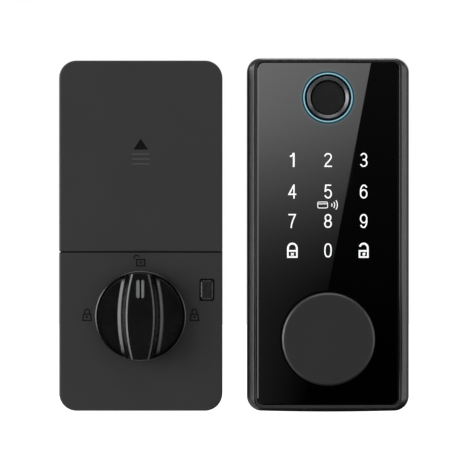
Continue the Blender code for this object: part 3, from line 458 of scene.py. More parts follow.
def unit_of(node):
    """From a unit's own millimetres, with z out from the door, into the frame's metres."""
    low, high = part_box(node)
    foot = Matrix.Translation(((low.x + high.x) / 2, 0, low.z))
    return foot @ Matrix.Rotation(pi / 2, 4, "X") @ Matrix.Scale(MM, 4)


def box_in(unit, node):
    """A CAD node's lowest and highest corners, in a unit's millimetres."""
    corners = [unit.inverted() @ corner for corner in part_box(node)]
    return Vector(map(min, *corners)), Vector(map(max, *corners))


def ext_box(node):
    return box_in(EXTERIOR, node)


def int_box(node):
    return box_in(INTERIOR, node)


def middle(box):
    return (box[0].x + box[1].x) / 2, (box[0].y + box[1].y) / 2


def radius_of(box):
    return (box[1].x - box[0].x) / 2


EXTERIOR = unit_of("exterior_housing")
INTERIOR = unit_of("interior_housing")
EXT_LOW, EXT_HIGH = ext_box("exterior_housing")
GLASS_LOW, GLASS_HIGH = ext_box("glass_panel")
READER = middle(ext_box("fingerprint_sensor"))
KNOB = middle(ext_box("exterior_knob"))
TURN = middle(int_box("thumbturn"))
RING_INNER, RING_OUTER, HALO = 10.45, 11.12, 2.2
SHAFT_HOLE = 8.3


# The looks --------

PAINT = grained("painted_zinc", (0.016, 0.016, 0.017), 0.36, 2600, 0.02)
PLASTIC = grained("dark_plastic", (0.0122, 0.0122, 0.0126), 0.58, 5200, 0.03, Specular_IOR_Level=0.4)
BUTTON = grained("button_plastic", (0.0085, 0.0085, 0.0087), 0.30, 3200, 0.006, Specular_IOR_Level=0.5)
# painted highlight: a lighter plastic for the cover's raised grip lines, standing in for the light they catch
RIB_HIGHLIGHT = grained("painted_rib_highlight", (0.030, 0.030, 0.031), 0.5, 4200, 0.01)
# painted shade: a near-black, dull material for the faces of grooves, icons, the arrow and the pointer's
# floor, standing in for the shade in these recesses
RECESS_SHADE = grained("painted_recess_shade", (0.0015, 0.0015, 0.0015), 0.7, 3000, 0.01, Specular_IOR_Level=0.1)
GLOSS = grained("knob_gloss", (0.0012, 0.0012, 0.0013), 0.25, 420, 0.0006, Specular_IOR_Level=0.36)
SATIN = grained("satin_grey", (0.0105, 0.0105, 0.0108), 0.42, 3600, 0.012)
SENSOR = grained("sensor_black", (0.0040, 0.0040, 0.0043), 0.36, 2400, 0.01)
POINTER = grained("mark_grey", (0.11, 0.115, 0.115), 0.45, 3000, 0.01)
RUBBER = grained("rubber", (0.014, 0.014, 0.014), 0.78, 1800, 0.03, 0.12)
NYLON = grained("nylon", (0.62, 0.61, 0.56), 0.5, 1500, 0.01)
MILKY = grained("milky", (0.80, 0.82, 0.82), 0.5, 1500, 0.01)
STEEL = brushed("bright_steel", (0.58, 0.58, 0.59), 0.26, (1, 8, 1))
BEZEL = brushed("bezel_steel", (0.068, 0.068, 0.071), 0.38, (2, 1, 2))
ZINC = plated("zinc_plate", (0.56, 0.57, 0.59), 0.36)
BRASS = brushed("brass", (0.72, 0.53, 0.24), 0.30, (1, 6, 1))
GLASS = touch_glass()
RING_LIGHT = lit_ring()
LEGEND = backlit_white()
BOARD = circuit_board()
CELL_ENDS = [corner.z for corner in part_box("battery_1")]
LABEL_UP = cell_label("cell_wrap", *CELL_ENDS)
LABEL_DOWN = cell_label("cell_wrap_turned", *reversed(CELL_ENDS))


# Exterior unit --------

POCKET_CORNER = 3
FRAME_CORNER = 6.4
FOOT_BOW = 0.65
FRAME_WALL = 3.1
FLOOR_FRONT, FLOOR_BACK = 15.5, 13.5


def frame_ring(side, top, bottom, height):
    """The frame's outline, its foot slightly bowed. The shares run from 0 outside to 1 at the pocket."""
    across = side * (GLASS_LOW.x - SEAM - EXT_LOW.x)
    above = top * (EXT_HIGH.y - GLASS_HIGH.y - SEAM)
    below_glass = bottom * (GLASS_LOW.y - SEAM - EXT_LOW.y)
    corner = FRAME_CORNER + (POCKET_CORNER - FRAME_CORNER) * side
    left, right = EXT_LOW.x + across, EXT_HIGH.x - across
    steps = 16
    outline = rounded(left, right, below_glass, EXT_HIGH.y - above, corner, steps)
    foot = [(left + corner + (right - left - 2 * corner) * i / steps, below_glass) for i in range(1, steps)]
    foot_start = 3 * (steps + 1)
    outline[foot_start:foot_start] = foot
    bow = FOOT_BOW * (1 - bottom)
    half_way = EXT_HIGH.y / 2
    return [(x, y + bow * (x / EXT_HIGH.x) ** 2 if y < half_way else y, height) for x, y in outline]


def add_exterior_housing():
    """The die-cast frame: a rounded shoulder, a fine groove and a lip round the glass."""
    back, front = EXT_LOW.z, EXT_HIGH.z
    sections = (
        (0.02, 0.03, 0.02, 3.6), (0.07, 0.09, 0.06, 2.5), (0.15, 0.17, 0.13, 1.75), (0.24, 0.25, 0.20, 1.22),
        (0.26, 0.265, 0.21, 1.16), (0.65, 0.48, 0.42, 0.12), (0.67, 0.49, 0.43, 0.07), (0.71, 0.55, 0.48, 0),
        (0.74, 0.58, 0.50, 0.1), (0.76, 0.60, 0.51, 0.6), (0.83, 0.74, 0.54, 0.6), (0.85, 0.76, 0.55, 0.3),
        (0.94, 0.88, 0.95, 0.2), (0.98, 0.96, 0.99, 0.35), (1, 1, 1, 0.7),
    )
    rings = [frame_ring(0.08, 0.20, 0.11, back), frame_ring(0, 0, 0, back + 0.4)]
    rings += [frame_ring(0, 0, 0, front - 5)]
    rings += [frame_ring(*shares, front - down) for *shares, down in sections]
    shape = loft(rings + [frame_ring(1, 1, 1, FLOOR_FRONT)])
    wall = FRAME_WALL
    inner = rounded(EXT_LOW.x + wall, EXT_HIGH.x - wall, wall, EXT_HIGH.y - wall, FRAME_CORNER - wall)
    port = ext_box("emergency_usb_port")
    wide, high = 2 * (radius_of(port) + SEAM), port[1].z - port[0].z + 2 * SEAM
    port_mouth = stood_up(prism(around((0, -(port[0].z + port[1].z) / 2), wide, high, 1.4), -5, 8))
    through_floor = (FLOOR_BACK - 1, FLOOR_FRONT + 1)
    shape = carve(
        shape,
        prism(inner, back - 1, FLOOR_BACK),
        post(10.5, *through_floor, READER, 64),
        post(SHAFT_HOLE, *through_floor, KNOB, 64),
        prism(around((0, 75), 20, 6, 2, 6), *through_floor),
        moved(port_mouth, middle(port)[0]),
    )
    bosses = []
    for word in ("lower", "upper"):
        spot = middle(ext_box(f"back_plate_screw_{word}"))
        bosses.append(carve(post(3.6, back + 1.8, FLOOR_BACK + 1, spot), post(1.8, 0, 12, spot)))
    add_piece("housing_frame", fuse(shape, *bosses), EXTERIOR, [PAINT], ["exterior_housing"])


def add_glass():
    """The touch glass, with polished edges round its outline and its two holes."""
    back, front = GLASS_LOW.z, GLASS_HIGH.z
    edge, corner = 0.28, 2.6

    def outline(inset):
        sides = (GLASS_LOW.x + inset, GLASS_HIGH.x - inset, GLASS_LOW.y + inset, GLASS_HIGH.y - inset)
        return rounded(*sides, corner - inset / 2)

    def hole(centre, radius):
        cone = ((0, front + 1), (radius + edge + 1, front + 1), (radius, front - edge))
        return turned(cone + ((radius, back - 1), (0, back - 1)), centre)

    knob_hole = radius_of(ext_box("exterior_knob")) + 2 * SEAM
    shape = carve(plate(outline, back, front, edge), hole(READER, RING_OUTER + SEAM), hole(KNOB, knob_hole))
    add_piece("touch_glass", shape, EXTERIOR, [GLASS], ["glass_panel"])


# Legends, drawn round their own centres
STROKE = 0.6
INK = (GLASS_HIGH.z - 0.02, GLASS_HIGH.z + 0.05)
HALF_W, HALF_H = 1.42, 2.86
TALL = HALF_H + STROKE / 2


def ink(path, width=STROKE, closed=False):
    return ribbon(path, width, *INK, closed)


def oval(centre, radii, squareness=2, steps=48):
    """A closed stroke along a superellipse."""
    points = []
    for i in range(steps):
        c, s = cos(tau * i / steps), sin(tau * i / steps)
        x = centre[0] + radii[0] * copysign(abs(c) ** (2 / squareness), c)
        points.append((x, centre[1] + radii[1] * copysign(abs(s) ** (2 / squareness), s)))
    return ink(points, closed=True)


def six(turn=1):
    """A six, or a nine when turn is -1."""
    hook = arc((0.12, 0), (1.5, HALF_H), 38, 180, 24) + [(-1.38, -1)]
    bowl = oval((0, -1.02), (1.40, 1.80))
    bmesh.ops.scale(bowl, vec=(turn, turn, 1), verts=bowl.verts)
    return [ink([(x * turn, y * turn) for x, y in hook]), bowl]


def padlock(is_open):
    """A padlock: a framed body with a small mark in its window, and a shackle."""
    half, low, high = (1.88 if is_open else 2.02), -2.98, -0.22
    body = ink([(-half, low), (half, low), (half, high), (-half, high)], 0.72, closed=True)
    arch = [(half, high)] + arc((0, 0.98), (half - 0.04, 2.06), 0, 160 if is_open else 180, 22)
    if is_open:
        key = [post(0.62, *INK, (0.1, -1.72), 24), ink([(0.2, -1.6), (0.72, -0.98)], 0.4)]
        return [body, ink(arch, 0.82), *key]
    cross = [ink([(-0.6, -1.15), (0.6, -2.3)], 0.46), ink([(0.6, -1.15), (-0.6, -2.3)], 0.46)]
    return [body, ink(arch + [(-half, high)], 0.82), *cross]


def key_strokes():
    """The strokes of each digit, and of the closed (C) and the open (O) padlock."""
    two_foot = [(0.55, -0.32), (-0.85, -1.75), (-1.30, -HALF_H), (1.78, -HALF_H)]
    return {
        "0": [oval((0, 0), (1.38, HALF_H), 2.5)],
        "1": [
            ink([(0.62, TALL), (0.62, -TALL)], 0.78),
            ink([(-1.15, 1.62), (-0.45, 1.74), (0.02, 2.12), (0.3, 2.62), (0.42, TALL)], 0.66),
        ],
        "2": [ink(arc((0, 1.36), (HALF_W, 1.46), 172, -28, 24) + two_foot)],
        "3": [
            ink(arc((-0.02, 1.42), (1.28, 1.40), 158, -88, 24)),
            ink(arc((0, -1.36), (HALF_W, 1.46), 92, -160, 26)),
            ink([(-0.45, 0.06), (0.3, 0.06)], 0.62),
        ],
        "4": [ink([(0.72, TALL), (0.72, -TALL)]), ink([(0.62, 2.9), (-1.50, -1.22), (1.80, -1.22)], 0.62)],
        "5": [
            ink([(1.38, HALF_H), (-0.98, HALF_H), (-1.32, -0.10)]),
            ink(arc((0, -0.98), (HALF_W, 1.84), 148, -160, 30)),
        ],
        "6": six(),
        "7": [ink([(-1.78, HALF_H), (1.30, HALF_H), (0.22, 0.35), (-0.38, -1.55), (-0.55, -TALL)])],
        "8": [oval((0, 1.45), (1.22, 1.38)), oval((0, -1.36), (HALF_W, 1.46))],
        "9": six(-1),
        "C": padlock(False),
        "O": padlock(True),
    }


def card_sign():
    """A card beside three radio waves."""
    card = ink(around((-2.4, 0), 4.4, 2.7, 0.5, 4), 0.32, closed=True)
    waves = [ink(arc((0.7, 0), (radius, radius), -36, 36, 12), 0.4) for radius in (1.1, 2.3, 3.5)]
    return [card, ink([(-4.4, 0.5), (-0.4, 0.5)], 0.34), *waves]


def add_legends():
    """Digits, padlocks and the card sign, each a thin raised print on the glass."""
    column, card_y = 16, 93
    rows = {113.2: "123", 99: "456", 85.8: "789", 72.6: "C0O"}
    strokes = key_strokes()
    shapes = []
    for y, keys in rows.items():
        shapes += [moved(fuse(*strokes[key]), (i - 1) * column, y) for i, key in enumerate(keys)]
    shapes += [moved(stroke, 0, card_y) for stroke in card_sign()]
    add_piece("keypad_legends", together(shapes), EXTERIOR, [LEGEND])


def add_reader():
    """The lit ring, the sloped metal bezel and the sensor."""

    def add(name, profile, look, node, closed=True):
        add_piece(name, turned(profile, READER, closed=closed), EXTERIOR, [look], [node])

    low, high = ext_box("fingerprint_light_ring")
    flange, behind_glass = radius_of((low, high)), GLASS_LOW.z - SEAM
    ring = below(RING_INNER, high.z, (0, 0.15), (-0.15, 0.03))
    ring += [((RING_INNER + RING_OUTER) / 2, high.z), *below(RING_OUTER, high.z, (0.15, 0.03), (0, 0.15))]
    ring += [(RING_OUTER, behind_glass), (flange, behind_glass), (flange, low.z), (RING_INNER, low.z)]
    add("reader_light_ring", ring, RING_LIGHT, "fingerprint_light_ring")

    low, high = ext_box("fingerprint_bezel")
    foot, floor, outer, inner = radius_of((low, high)), 13.2, 9.7, 7.8
    crest = ((9.1, 0.06), (9.25, 0), (9.38, 0.08), (9.5, 0.4), (9.62, 1), (outer, 1.9))
    slope = ((inner, 1.75), (7.82, 0.95), (7.95, 0.74), (8.2, 0.57))
    bezel = [(radius, high.z - down) for radius, down in crest]
    bezel += [(outer, floor), (foot, floor), (foot, low.z), (inner, low.z)]
    bezel += [(radius, high.z - down) for radius, down in slope]
    add("reader_bezel", bezel, BEZEL, "fingerprint_bezel")

    low, high = ext_box("fingerprint_sensor")
    radius, top = radius_of((low, high)), high.z
    sensor = [(0, top - 0.12), (3, top - 0.1), (5.6, top - 0.04)]
    sensor += below(radius, top, (0.5, 0), (0.15, 0.06), (0, 0.3)) + [(radius, low.z), (0, low.z)]
    add("reader_sensor", sensor, SENSOR, "fingerprint_sensor", closed=False)


def add_knob():
    """The round knob, with a narrow bevel and a hollow back round the socket for its shaft."""
    box = ext_box("exterior_knob")
    radius, rim, front = radius_of(box), box[0].z, box[1].z
    wall, socket, bore, roof, steps = 2.15, 9.5, 6.3, 30.7, 160
    profile = [(0, front), *below(radius, front, (1.6, 0), (1.45, 0.05), (1.3, 0), (0.86, 0))]
    profile += below(radius, front, (0.80, 0.02), (0.14, 0.40), (0.04, 0.52), (0, 0.7))
    profile += below(radius, rim, (0, -1.6), (0.25, -1.4), (0.25, -0.9), (0, -0.7), (0, 0), (wall, 0))
    profile += [(radius - wall, roof - 0.2), (socket, roof - 0.2), (socket, rim + 1), (bore, rim + 1)]
    profile += [(bore, roof), (0, roof)]
    shape = turned(profile, KNOB, steps)
    add_piece("knob_disc", shape, EXTERIOR, [SATIN], ["exterior_knob"], "exterior_knob")


# Interior unit --------

INT_LOW, INT_HIGH = int_box("interior_housing")
COVER_LOW, COVER_HIGH = int_box("battery_cover")
SEAM_LOW = COVER_LOW.y - 0.08
REVEAL = 0.45
INT_TOP = COVER_HIGH.y
BODY_FRONT = INT_HIGH.z
HALF = COVER_HIGH.x
BODY_CORNER = 7.8
BODY_WALL = 2
COVER_WALL = 1.6
FAR = 60
TRAY_FRONT, TRAY_HALF, TRAY_FLOOR = 10.4, 33, 1.5
TRAY_CORNER = BODY_CORNER - COVER_WALL - 0.5
BAY_Y, BAY_WIDE, BAY_HIGH, BAY_TOP = 111.5, 62.2, 57, 21
CELL_PITCH = 15.2
BUTTON_SIZE = (5.8, 9)


def body_skin(back):
    """The interior unit's whole outer skin: upright walls and a small front radius."""
    radius, corner_steps, edge_steps = 0.9, 16, 6

    def ring(inset, height):
        sides = (-HALF + inset, HALF - inset, inset, INT_TOP - inset)
        return raise_to(rounded(*sides, BODY_CORNER - inset, corner_steps), height)

    rings = [ring(0.3, back), ring(0, back + 0.3)]
    for i in range(edge_steps + 1):
        angle = radians(90 * i / edge_steps)
        rings.append(ring(radius * (1 - cos(angle)), BODY_FRONT - radius * (1 - sin(angle))))
    return loft(rings)


def ease_seam(shape, y):
    """A small radius on the cover's outer edges along the seam at y."""
    size, near = 0.5, 1
    edges = []
    for edge in shape.edges:
        points = [vert.co for vert in edge.verts]
        on_seam = all(abs(point.y - y) < MM for point in points)
        outside = all(abs(point.x) > HALF - near or point.z > BODY_FRONT - near for point in points)
        on_skin = len({round(face.normal.y, 1) for face in edge.link_faces}) > 1
        if on_seam and outside and on_skin:
            edges.append(edge)
    bmesh.ops.bevel(shape, geom=edges, offset=size, segments=2, profile=0.5, affect="EDGES")
    return shape


def small_padlock(is_open, x, y):
    """Cutters for a padlock's outline at (x, y); the grooves they cut carry painted shade."""
    line, depth = 0.52, (BODY_FRONT - 0.3, BODY_FRONT + 1)
    if is_open:
        body, eye = [(-1.8, -1.5), (1.8, -1.5), (1.8, 1.3), (-1.8, 1.3)], (0, 0)
        shackle = arc((-1.9, 2.1), (1.05, 1.2), 20, 180, 12) + [(-2.95, 1.6)]
    else:
        body, eye = [(-1.95, -2.6), (1.95, -2.6), (1.55, 0.15), (-1.55, 0.15)], (0, -1.1)
        shackle = [(1.05, 0.3), *arc((0, 1.15), (1.05, 1.35), 0, 180, 14), (-1.05, 0.3)]
    shapes = [ribbon(body, line, *depth, True), ribbon(shackle, line, *depth), post(0.5, *depth, eye, 16)]
    return [moved(coloured(shape, 1), TURN[0] + x, TURN[1] + y) for shape in shapes]


def add_interior_housing():
    """The lower front, the battery tray and the partition, in one moulding."""
    back, tray_top = INT_LOW.z, INT_HIGH.y
    shape = carve(body_skin(back), block(-FAR, FAR, SEAM_LOW, 260, -1, FAR))

    tray_foot = SEAM_LOW - TRAY_CORNER - 1
    tray = prism(rounded(-TRAY_HALF, TRAY_HALF, tray_foot, tray_top, TRAY_CORNER), back, TRAY_FRONT)
    bay_rim = prism(around((0, BAY_Y), 2 * TRAY_HALF, BAY_HIGH + 4, 1, 4), TRAY_FRONT - 1, BAY_TOP)
    rails = [prism(around((side * 33.2, 111), 2.4, 74, 0.2, 2), 5, 6.4) for side in (-1, 1)]
    shape = fuse(shape, tray, bay_rim, *rails)

    wall = BODY_WALL
    lower = rounded(-HALF + wall, HALF - wall, wall, SEAM_LOW - wall, BODY_CORNER - wall)
    upper = rounded(-TRAY_HALF + wall, TRAY_HALF - wall, SEAM_LOW + wall, tray_top - wall, TRAY_CORNER - wall)
    bay = prism(around((0, BAY_Y), BAY_WIDE, BAY_HIGH, 0.6, 3), TRAY_FRONT, BAY_TOP + 1)
    hollows = prism(lower, back - 1, BODY_FRONT - wall), prism(upper, back - 1, TRAY_FRONT - TRAY_FLOOR)
    shape = carve(shape, *hollows, bay)

    screws = [middle(int_box(f"housing_screw_{word}")) for word in ("left", "right")]
    shape = fuse(shape, *[post(3.4, back, TRAY_FRONT - 1, spot) for spot in screws])
    button = middle(int_box("set_button"))
    cap_wide, cap_high = (size + 3 * SEAM for size in BUTTON_SIZE)
    front_wall = (BODY_FRONT - 2 * wall, BODY_FRONT + 1)
    shape = carve(
        shape,
        post(SHAFT_HOLE, *front_wall, TURN, 64),
        prism(around(button, cap_wide, cap_high, 0.9, 6), *front_wall),
        prism(around((0, SEAM_LOW), 16, 8, 1, 4), 3, 7.5),
        *[post(1.8, 0, TRAY_FRONT + 1, spot) for spot in screws],
    )

    plus, from_middle, depth = 1.8, 21, (TRAY_FRONT - 0.35, TRAY_FRONT + 1)
    marks = []
    for i in range(4):
        x, y = (i - 1.5) * CELL_PITCH, BAY_Y + from_middle * (-1) ** i
        marks.append(ribbon([(x - plus, y), (x + plus, y)], 0.7, *depth))
        marks.append(ribbon([(x, y - plus), (x, y + plus)], 0.7, *depth))
    shape = carve(shape, *marks)

    icons = small_padlock(False, -24, 0.7) + small_padlock(False, 24, 0.7) + small_padlock(True, 0, 24)
    grooves = [block(-FAR, FAR, SEAM_LOW - REVEAL, 80, BODY_FRONT - 1.5, FAR)]
    for left, right in ((-FAR, 0.5 - HALF), (HALF - 0.5, FAR)):
        grooves.append(block(left, right, SEAM_LOW - REVEAL, 80, back + 2.6, FAR))
    # painted shade: the icons' grooves and the seam's reveal get the near-black material
    shape = carve(shape, *icons, *[coloured(groove, 1) for groove in grooves])
    looks = [PLASTIC, RECESS_SHADE]
    add_piece("interior_front_and_tray", shape, INTERIOR, looks, ["interior_housing"])


def add_battery_cover():
    """The sliding cover, with its recessed arrow in painted shade and three grip lines with a painted
    highlight.
    """
    back, bottom, inside = COVER_LOW.z, COVER_LOW.y, BODY_FRONT - COVER_WALL
    wall = COVER_WALL
    shape = carve(body_skin(back), block(-FAR, FAR, -FAR, bottom, -1, FAR))
    hollow = rounded(-HALF + wall, HALF - wall, 0, INT_TOP - wall, BODY_CORNER - wall, 16)
    shape = carve(shape, prism(hollow, back - 2, inside))
    lips = [prism(around((side * 34.45, 112), 2.2, 76, 0.2, 2), back, back + 2.4) for side in (-1, 1)]
    ribs = [around((0, y), 2 * HALF - 6, 1.1, 0.3, 2) for y in (84, 141)]
    shape = fuse(shape, *lips, *[prism(rib, inside - 1, BODY_FRONT - 1) for rib in ribs])
    arrow = [(-3.3, 116.9), (3.3, 116.9), (0, 121.75)]
    # painted shade: the arrow's recess gets the near-black material
    shape = carve(shape, coloured(prism(arrow, BODY_FRONT - 0.4, BODY_FRONT + 1), 1))
    lift, foot, crest = 0.25, (7.9, 0.72, 0.25), (7.7, 0.44, 0.12)
    lines = []
    for y in (110.4, 112.6, 114.8):
        sections = ((foot, -0.5), (foot, lift / 2), (crest, lift))
        rings = [raise_to(around((0, y), *size, 3), BODY_FRONT + height) for size, height in sections]
        # painted highlight: the grip lines get the lighter material
        lines.append(coloured(loft(rings), 2))
    shape = ease_seam(fuse(shape, *lines), bottom)
    looks, node = [PLASTIC, RECESS_SHADE, RIB_HIGHLIGHT], "battery_cover"
    add_piece("battery_cover_shell", shape, INTERIOR, looks, [node], node)


def grip_ring(middle_half, end_half, reach_radius, height):
    """The grip's outline: sides that swell at the middle, and ends along a circle."""
    reach = sqrt(reach_radius**2 - end_half**2)
    side_steps, end_steps = 28, 14
    half_turn = []
    for i in range(side_steps + 1):
        share = 2 * i / side_steps - 1
        half_turn.append((end_half + (middle_half - end_half) * (1 - share**2), share * reach))
    for i in range(1, end_steps):
        x = end_half * (1 - 2 * i / end_steps)
        half_turn.append((x, sqrt(reach_radius**2 - x**2)))
    points = half_turn + [(-x, -y) for x, y in half_turn]
    return [(TURN[0] + x, TURN[1] + y, height) for x, y in points]


def add_thumbturn():
    """A dished base with a fine raised rim, and a barrel-shaped grip across it."""
    box = int_box("thumbturn")
    radius, base, top = radius_of(box), box[0].z, box[1].z
    floor, rim = 32.8, 34.8
    profile = [(0, floor), (18.3, floor), (18.9, floor + 0.12), (19.35, floor + 0.5), (19.63, rim - 0.53)]
    profile += [(19.7, rim - 0.12), (19.78, rim), (19.86, rim - 0.02), (20.28, rim - 0.26)]
    profile += [(radius, rim - 0.4), (radius, base), (0, base)]
    foot = (
        (10.7, 8.2, 19.6, -1), (10.7, 8.2, 19.6, -0.02), (10.3, 7.8, 19.6, 0.1), (9.8, 7.3, 19.6, 0.34),
        (9, 6.5, 19.6, 0.8), (8.7, 6.2, 19.6, 1.06), (8.5, 6, 19.6, 1.36), (8.34, 5.84, 19.6, 1.85),
        (8.24, 5.76, 19.6, 2.6),
    )
    crest = ((6.62, 4.1, 19.5, 0.85), (6.45, 3.95, 19.45, 0.5), (5.75, 3.25, 19.2, 0.08), (5.5, 3, 19, 0))
    grip = [grip_ring(*sizes, floor + rise) for *sizes, rise in foot]
    grip += [grip_ring(*sizes, top - down) for *sizes, down in crest]
    shape = fuse(turned(profile, TURN), loft(grip))
    low, high = int_box("pointer_inlay")
    centre = middle((low, high))
    wide, tall = high.x - low.x, high.y - low.y
    pill = around(centre, wide + 0.5, tall + 0.5, wide / 2 + 0.2, 12)
    shape = carve(shape, prism(pill, top - 1.5, top + 1), post(6.3, base - 1, 38, TURN, 64))
    add_piece("thumbturn_grip", shape, INTERIOR, [GLOSS], ["thumbturn"], "thumbturn")

    # painted shade: the pill floor between the two bars gets the near-black material
    shape = coloured(prism(around(centre, wide, tall, wide / 2 - 0.1, 10), low.z - 0.2, low.z + 0.35), 1)
    bars = []
    for left, right in ((low.x, low.x + 0.44 * wide), (low.x + 0.66 * wide, high.x)):
        half = (right - left) / 2

        def outline(inset, x=(left + right) / 2, half=half):
            return around((x, centre[1]), 2 * (half - inset), tall - 2 * inset, half - inset - 0.02, 8)

        bars.append(plate(outline, low.z, high.z, 0.2))
    shape, looks = fuse(shape, *bars), [POINTER, RECESS_SHADE]
    add_piece("pointer_bars", shape, INTERIOR, looks, ["pointer_inlay"], "thumbturn")


def add_set_button():
    """An eased cap, the collar that holds it in, and the stem that presses the switch."""
    box = int_box("set_button")
    centre = middle(box)
    wide, high = BUTTON_SIZE

    def outline(inset):
        return around(centre, wide - 2 * inset, high - 2 * inset, 1 - inset / 2, 6)

    collar = prism(around(centre, wide + 2, high + 2, 0.8, 4), 25.4, 26.6)
    shape = fuse(plate(outline, 24.5, box[1].z, 0.75), collar, post(1.5, box[0].z, 25, centre))
    add_piece("set_button_cap", shape, INTERIOR, [BUTTON], ["set_button"], "set_button")


def add_batteries():
    """Four cells in their sleeves, and the springs behind their flat ends."""
    wire, sleeve_edge = 0.35, 0.5
    for i in range(1, 5):
        low, high = box = int_box(f"battery_{i}")
        radius, length, axis_z = radius_of(box), high.y - low.y, (low.z + high.z) / 2
        profile = [(0, length), (2.3, length), (2.6, length - 0.3), (2.6, length - 1.2), (2.8, length - 1.3)]
        profile += below(radius, length, (1.3, 1.3), (0.9, 1.15), (0.35, 1.2), (0, 1.7))
        profile += below(radius, 0, (0, -0.6), (0.3, -0.1), (0.9, 0), (1.3, -0.25)) + [(0, 0.25)]
        cell = turned(profile, steps=48)
        for face in cell.faces:
            centre = face.calc_center_median()
            face.material_index = 0 if hypot(centre.x, centre.y) > radius - sleeve_edge else 1
        nub_up = i % 2 == 1
        if not nub_up:
            bmesh.ops.rotate(cell, matrix=Matrix.Rotation(pi, 3, "X"), verts=cell.verts)
            moved(cell, z=length)
        x = middle(box)[0]
        cell = stood_up(cell, (x, low.y, axis_z))
        looks = [LABEL_UP if nub_up else LABEL_DOWN, ZINC]
        add_piece(f"cell_{i}", cell, INTERIOR, looks, [f"battery_{i}"])

        spring = int_box(f"battery_spring_{i}")
        ends = [Vector((x, y, axis_z)) for y in (spring[0].y + wire, spring[1].y - wire)]
        shape = coil(*(ends if nub_up else reversed(ends)), (4.8, 2.9), wire, 4)
        add_piece(f"spring_{i}", shape, INTERIOR, [STEEL], [f"battery_spring_{i}"])


# What goes through the door --------


def add_through_bolts():
    """The long bolts: a cross-slotted head, a plain neck and a thread of cut grooves."""
    shank, pitch, depth = 2, 0.7, 0.32
    for word in ("left", "right"):
        box = int_box(f"through_bolt_{word}")
        head, top, tip = radius_of(box), box[1].z, box[0].z
        seat = top - 2.4
        profile = [(0, top), *below(head, top, (1.3, 0), (0.6, 0.3), (0, 1.2)), (head, seat)]
        profile += [(shank, seat), (shank, seat - 6)]
        start, end = seat - 6.2, tip + 1
        for i in range(int((start - end) / pitch)):
            profile += below(shank, start - i * pitch, (depth, 0), (0, 0.38 * pitch), (0, 0.56 * pitch))
        profile += [(shank - 0.4, tip + 0.6), (shank - 0.8, tip), (0, tip)]
        centre, sizes = middle(box), ((0.8, head * 1.25), (head * 1.25, 0.8))
        slots = [prism(around(centre, *size, 0.1, 1), top - 1.4, top + 1) for size in sizes]
        shape = carve(turned(profile, centre, 28), *slots)
        add_piece(f"long_bolt_{word}", shape, INTERIOR, [ZINC], [f"through_bolt_{word}"])


def add_bolt_posts():
    """Collared posts with a threaded bore."""
    body, crest, root = 3.5, 1.75, 2.05
    for word in ("left", "right"):
        box = ext_box(f"bolt_post_{word}")
        head, tip, top = radius_of(box), box[0].z, box[1].z
        profile = [(0, top), *below(head, top, (0.3, 0), (0, 0.3), (0, 1.6)), (body, top - 1.6)]
        profile += [(body, tip + 0.4), (3.1, tip), (2.1, tip)]
        profile += [(crest if i % 2 else root, tip + 0.4 + 0.35 * i) for i in range(52)]
        profile += [(crest, 1), (0, 1)]
        shape = turned(profile, middle(box), 40)
        add_piece(f"threaded_post_{word}", shape, EXTERIOR, [ZINC], [f"bolt_post_{word}"])


def add_tailpiece():
    """The flat blade, scored where it is cut to length."""
    box = ext_box("tailpiece")
    x, y = middle(box)
    half_wide, half_thick = (box[1].y - box[0].y) / 2, radius_of(box)
    low, high, tip, ease = box[0].z, box[1].z, 2.4, 0.15
    side = [(-half_wide, high), (-half_wide, low + tip)]
    side += arc((-half_wide + tip, low + tip), (tip, tip), 180, 270, 8)[1:]
    side += arc((half_wide - tip, low + tip), (tip, tip), 270, 360, 8) + [(half_wide, high)]
    middle_z, half_z = (low + high) / 2, (high - low) / 2
    rings, inner = [], half_thick - ease
    for reach, inset in ((-half_thick, ease), (-inner, 0), (inner, 0), (half_thick, ease)):
        shrink_y, shrink_z = (half_wide - inset) / half_wide, (half_z - inset) / half_z
        rings.append([(x + reach, y + u * shrink_y, middle_z + (w - middle_z) * shrink_z) for u, w in side])
    scores = []
    for z in (low + 12, low + 24):
        for face_x in (x - half_thick - 0.35, x + half_thick + 0.35):
            scores.append(prism(around((face_x, y), 1, 2 * half_wide + 2, 0.1, 1), z - 0.25, z + 0.25))
    shape = carve(loft(rings), *scores)
    add_piece("tailpiece_blade", shape, EXTERIOR, [ZINC], ["tailpiece"], "tailpiece")


def dress_the_rest():
    """The nodes shown as they are: a look, the edges' width and how their names start."""
    rows = (
        (ZINC, 0.15, "exterior_back_plate interior_mounting_plate"),
        (ZINC, 0.1, "tailpiece_hub thumbturn_spindle"),
        (ZINC, 0.3, "clutch_motor"),
        (ZINC, 0, "back_plate_screw housing_screw"),
        (STEEL, 0, "knob_shaft knob_grub knob_retaining thumbturn_retaining clutch_pin emergency_usb"),
        (STEEL, 0.08, "battery_contact"),
        (BRASS, 0, "knob_bushing thumbturn_bushing clutch_screw"),
        (RUBBER, 0.25, "exterior_gasket"),
        (RUBBER, 0, "cable_grommet"),
        (BOARD, 0, "touch_circuit control_circuit main_circuit set_switch"),
        (SENSOR, 0, "buzzer"),
        (SENSOR, 0.2, "position_switch"),
        (NYLON, 0, "exterior_cable clutch_slider position_cam"),
        (MILKY, 0.2, "keypad_light_guide"),
    )
    for look, bevel, starts in rows:
        for node in NODES:
            if node.startswith(tuple(starts.split())):
                dress(node, look, bevel)


# Camera and studio --------

VIEW_WIDTH = 0.211
CAMERA_TARGET = Vector((0.0002, -0.020, 0.0795))
CAMERA_DISTANCE = 2.6
CAMERA_TILT = radians(0.5)
CARD_DISTANCE = 2.9
CARD_STRENGTH = 3.6
AMBIENT = 0.326
FLOOR_Z, FLOOR_REACH = -0.30, 14


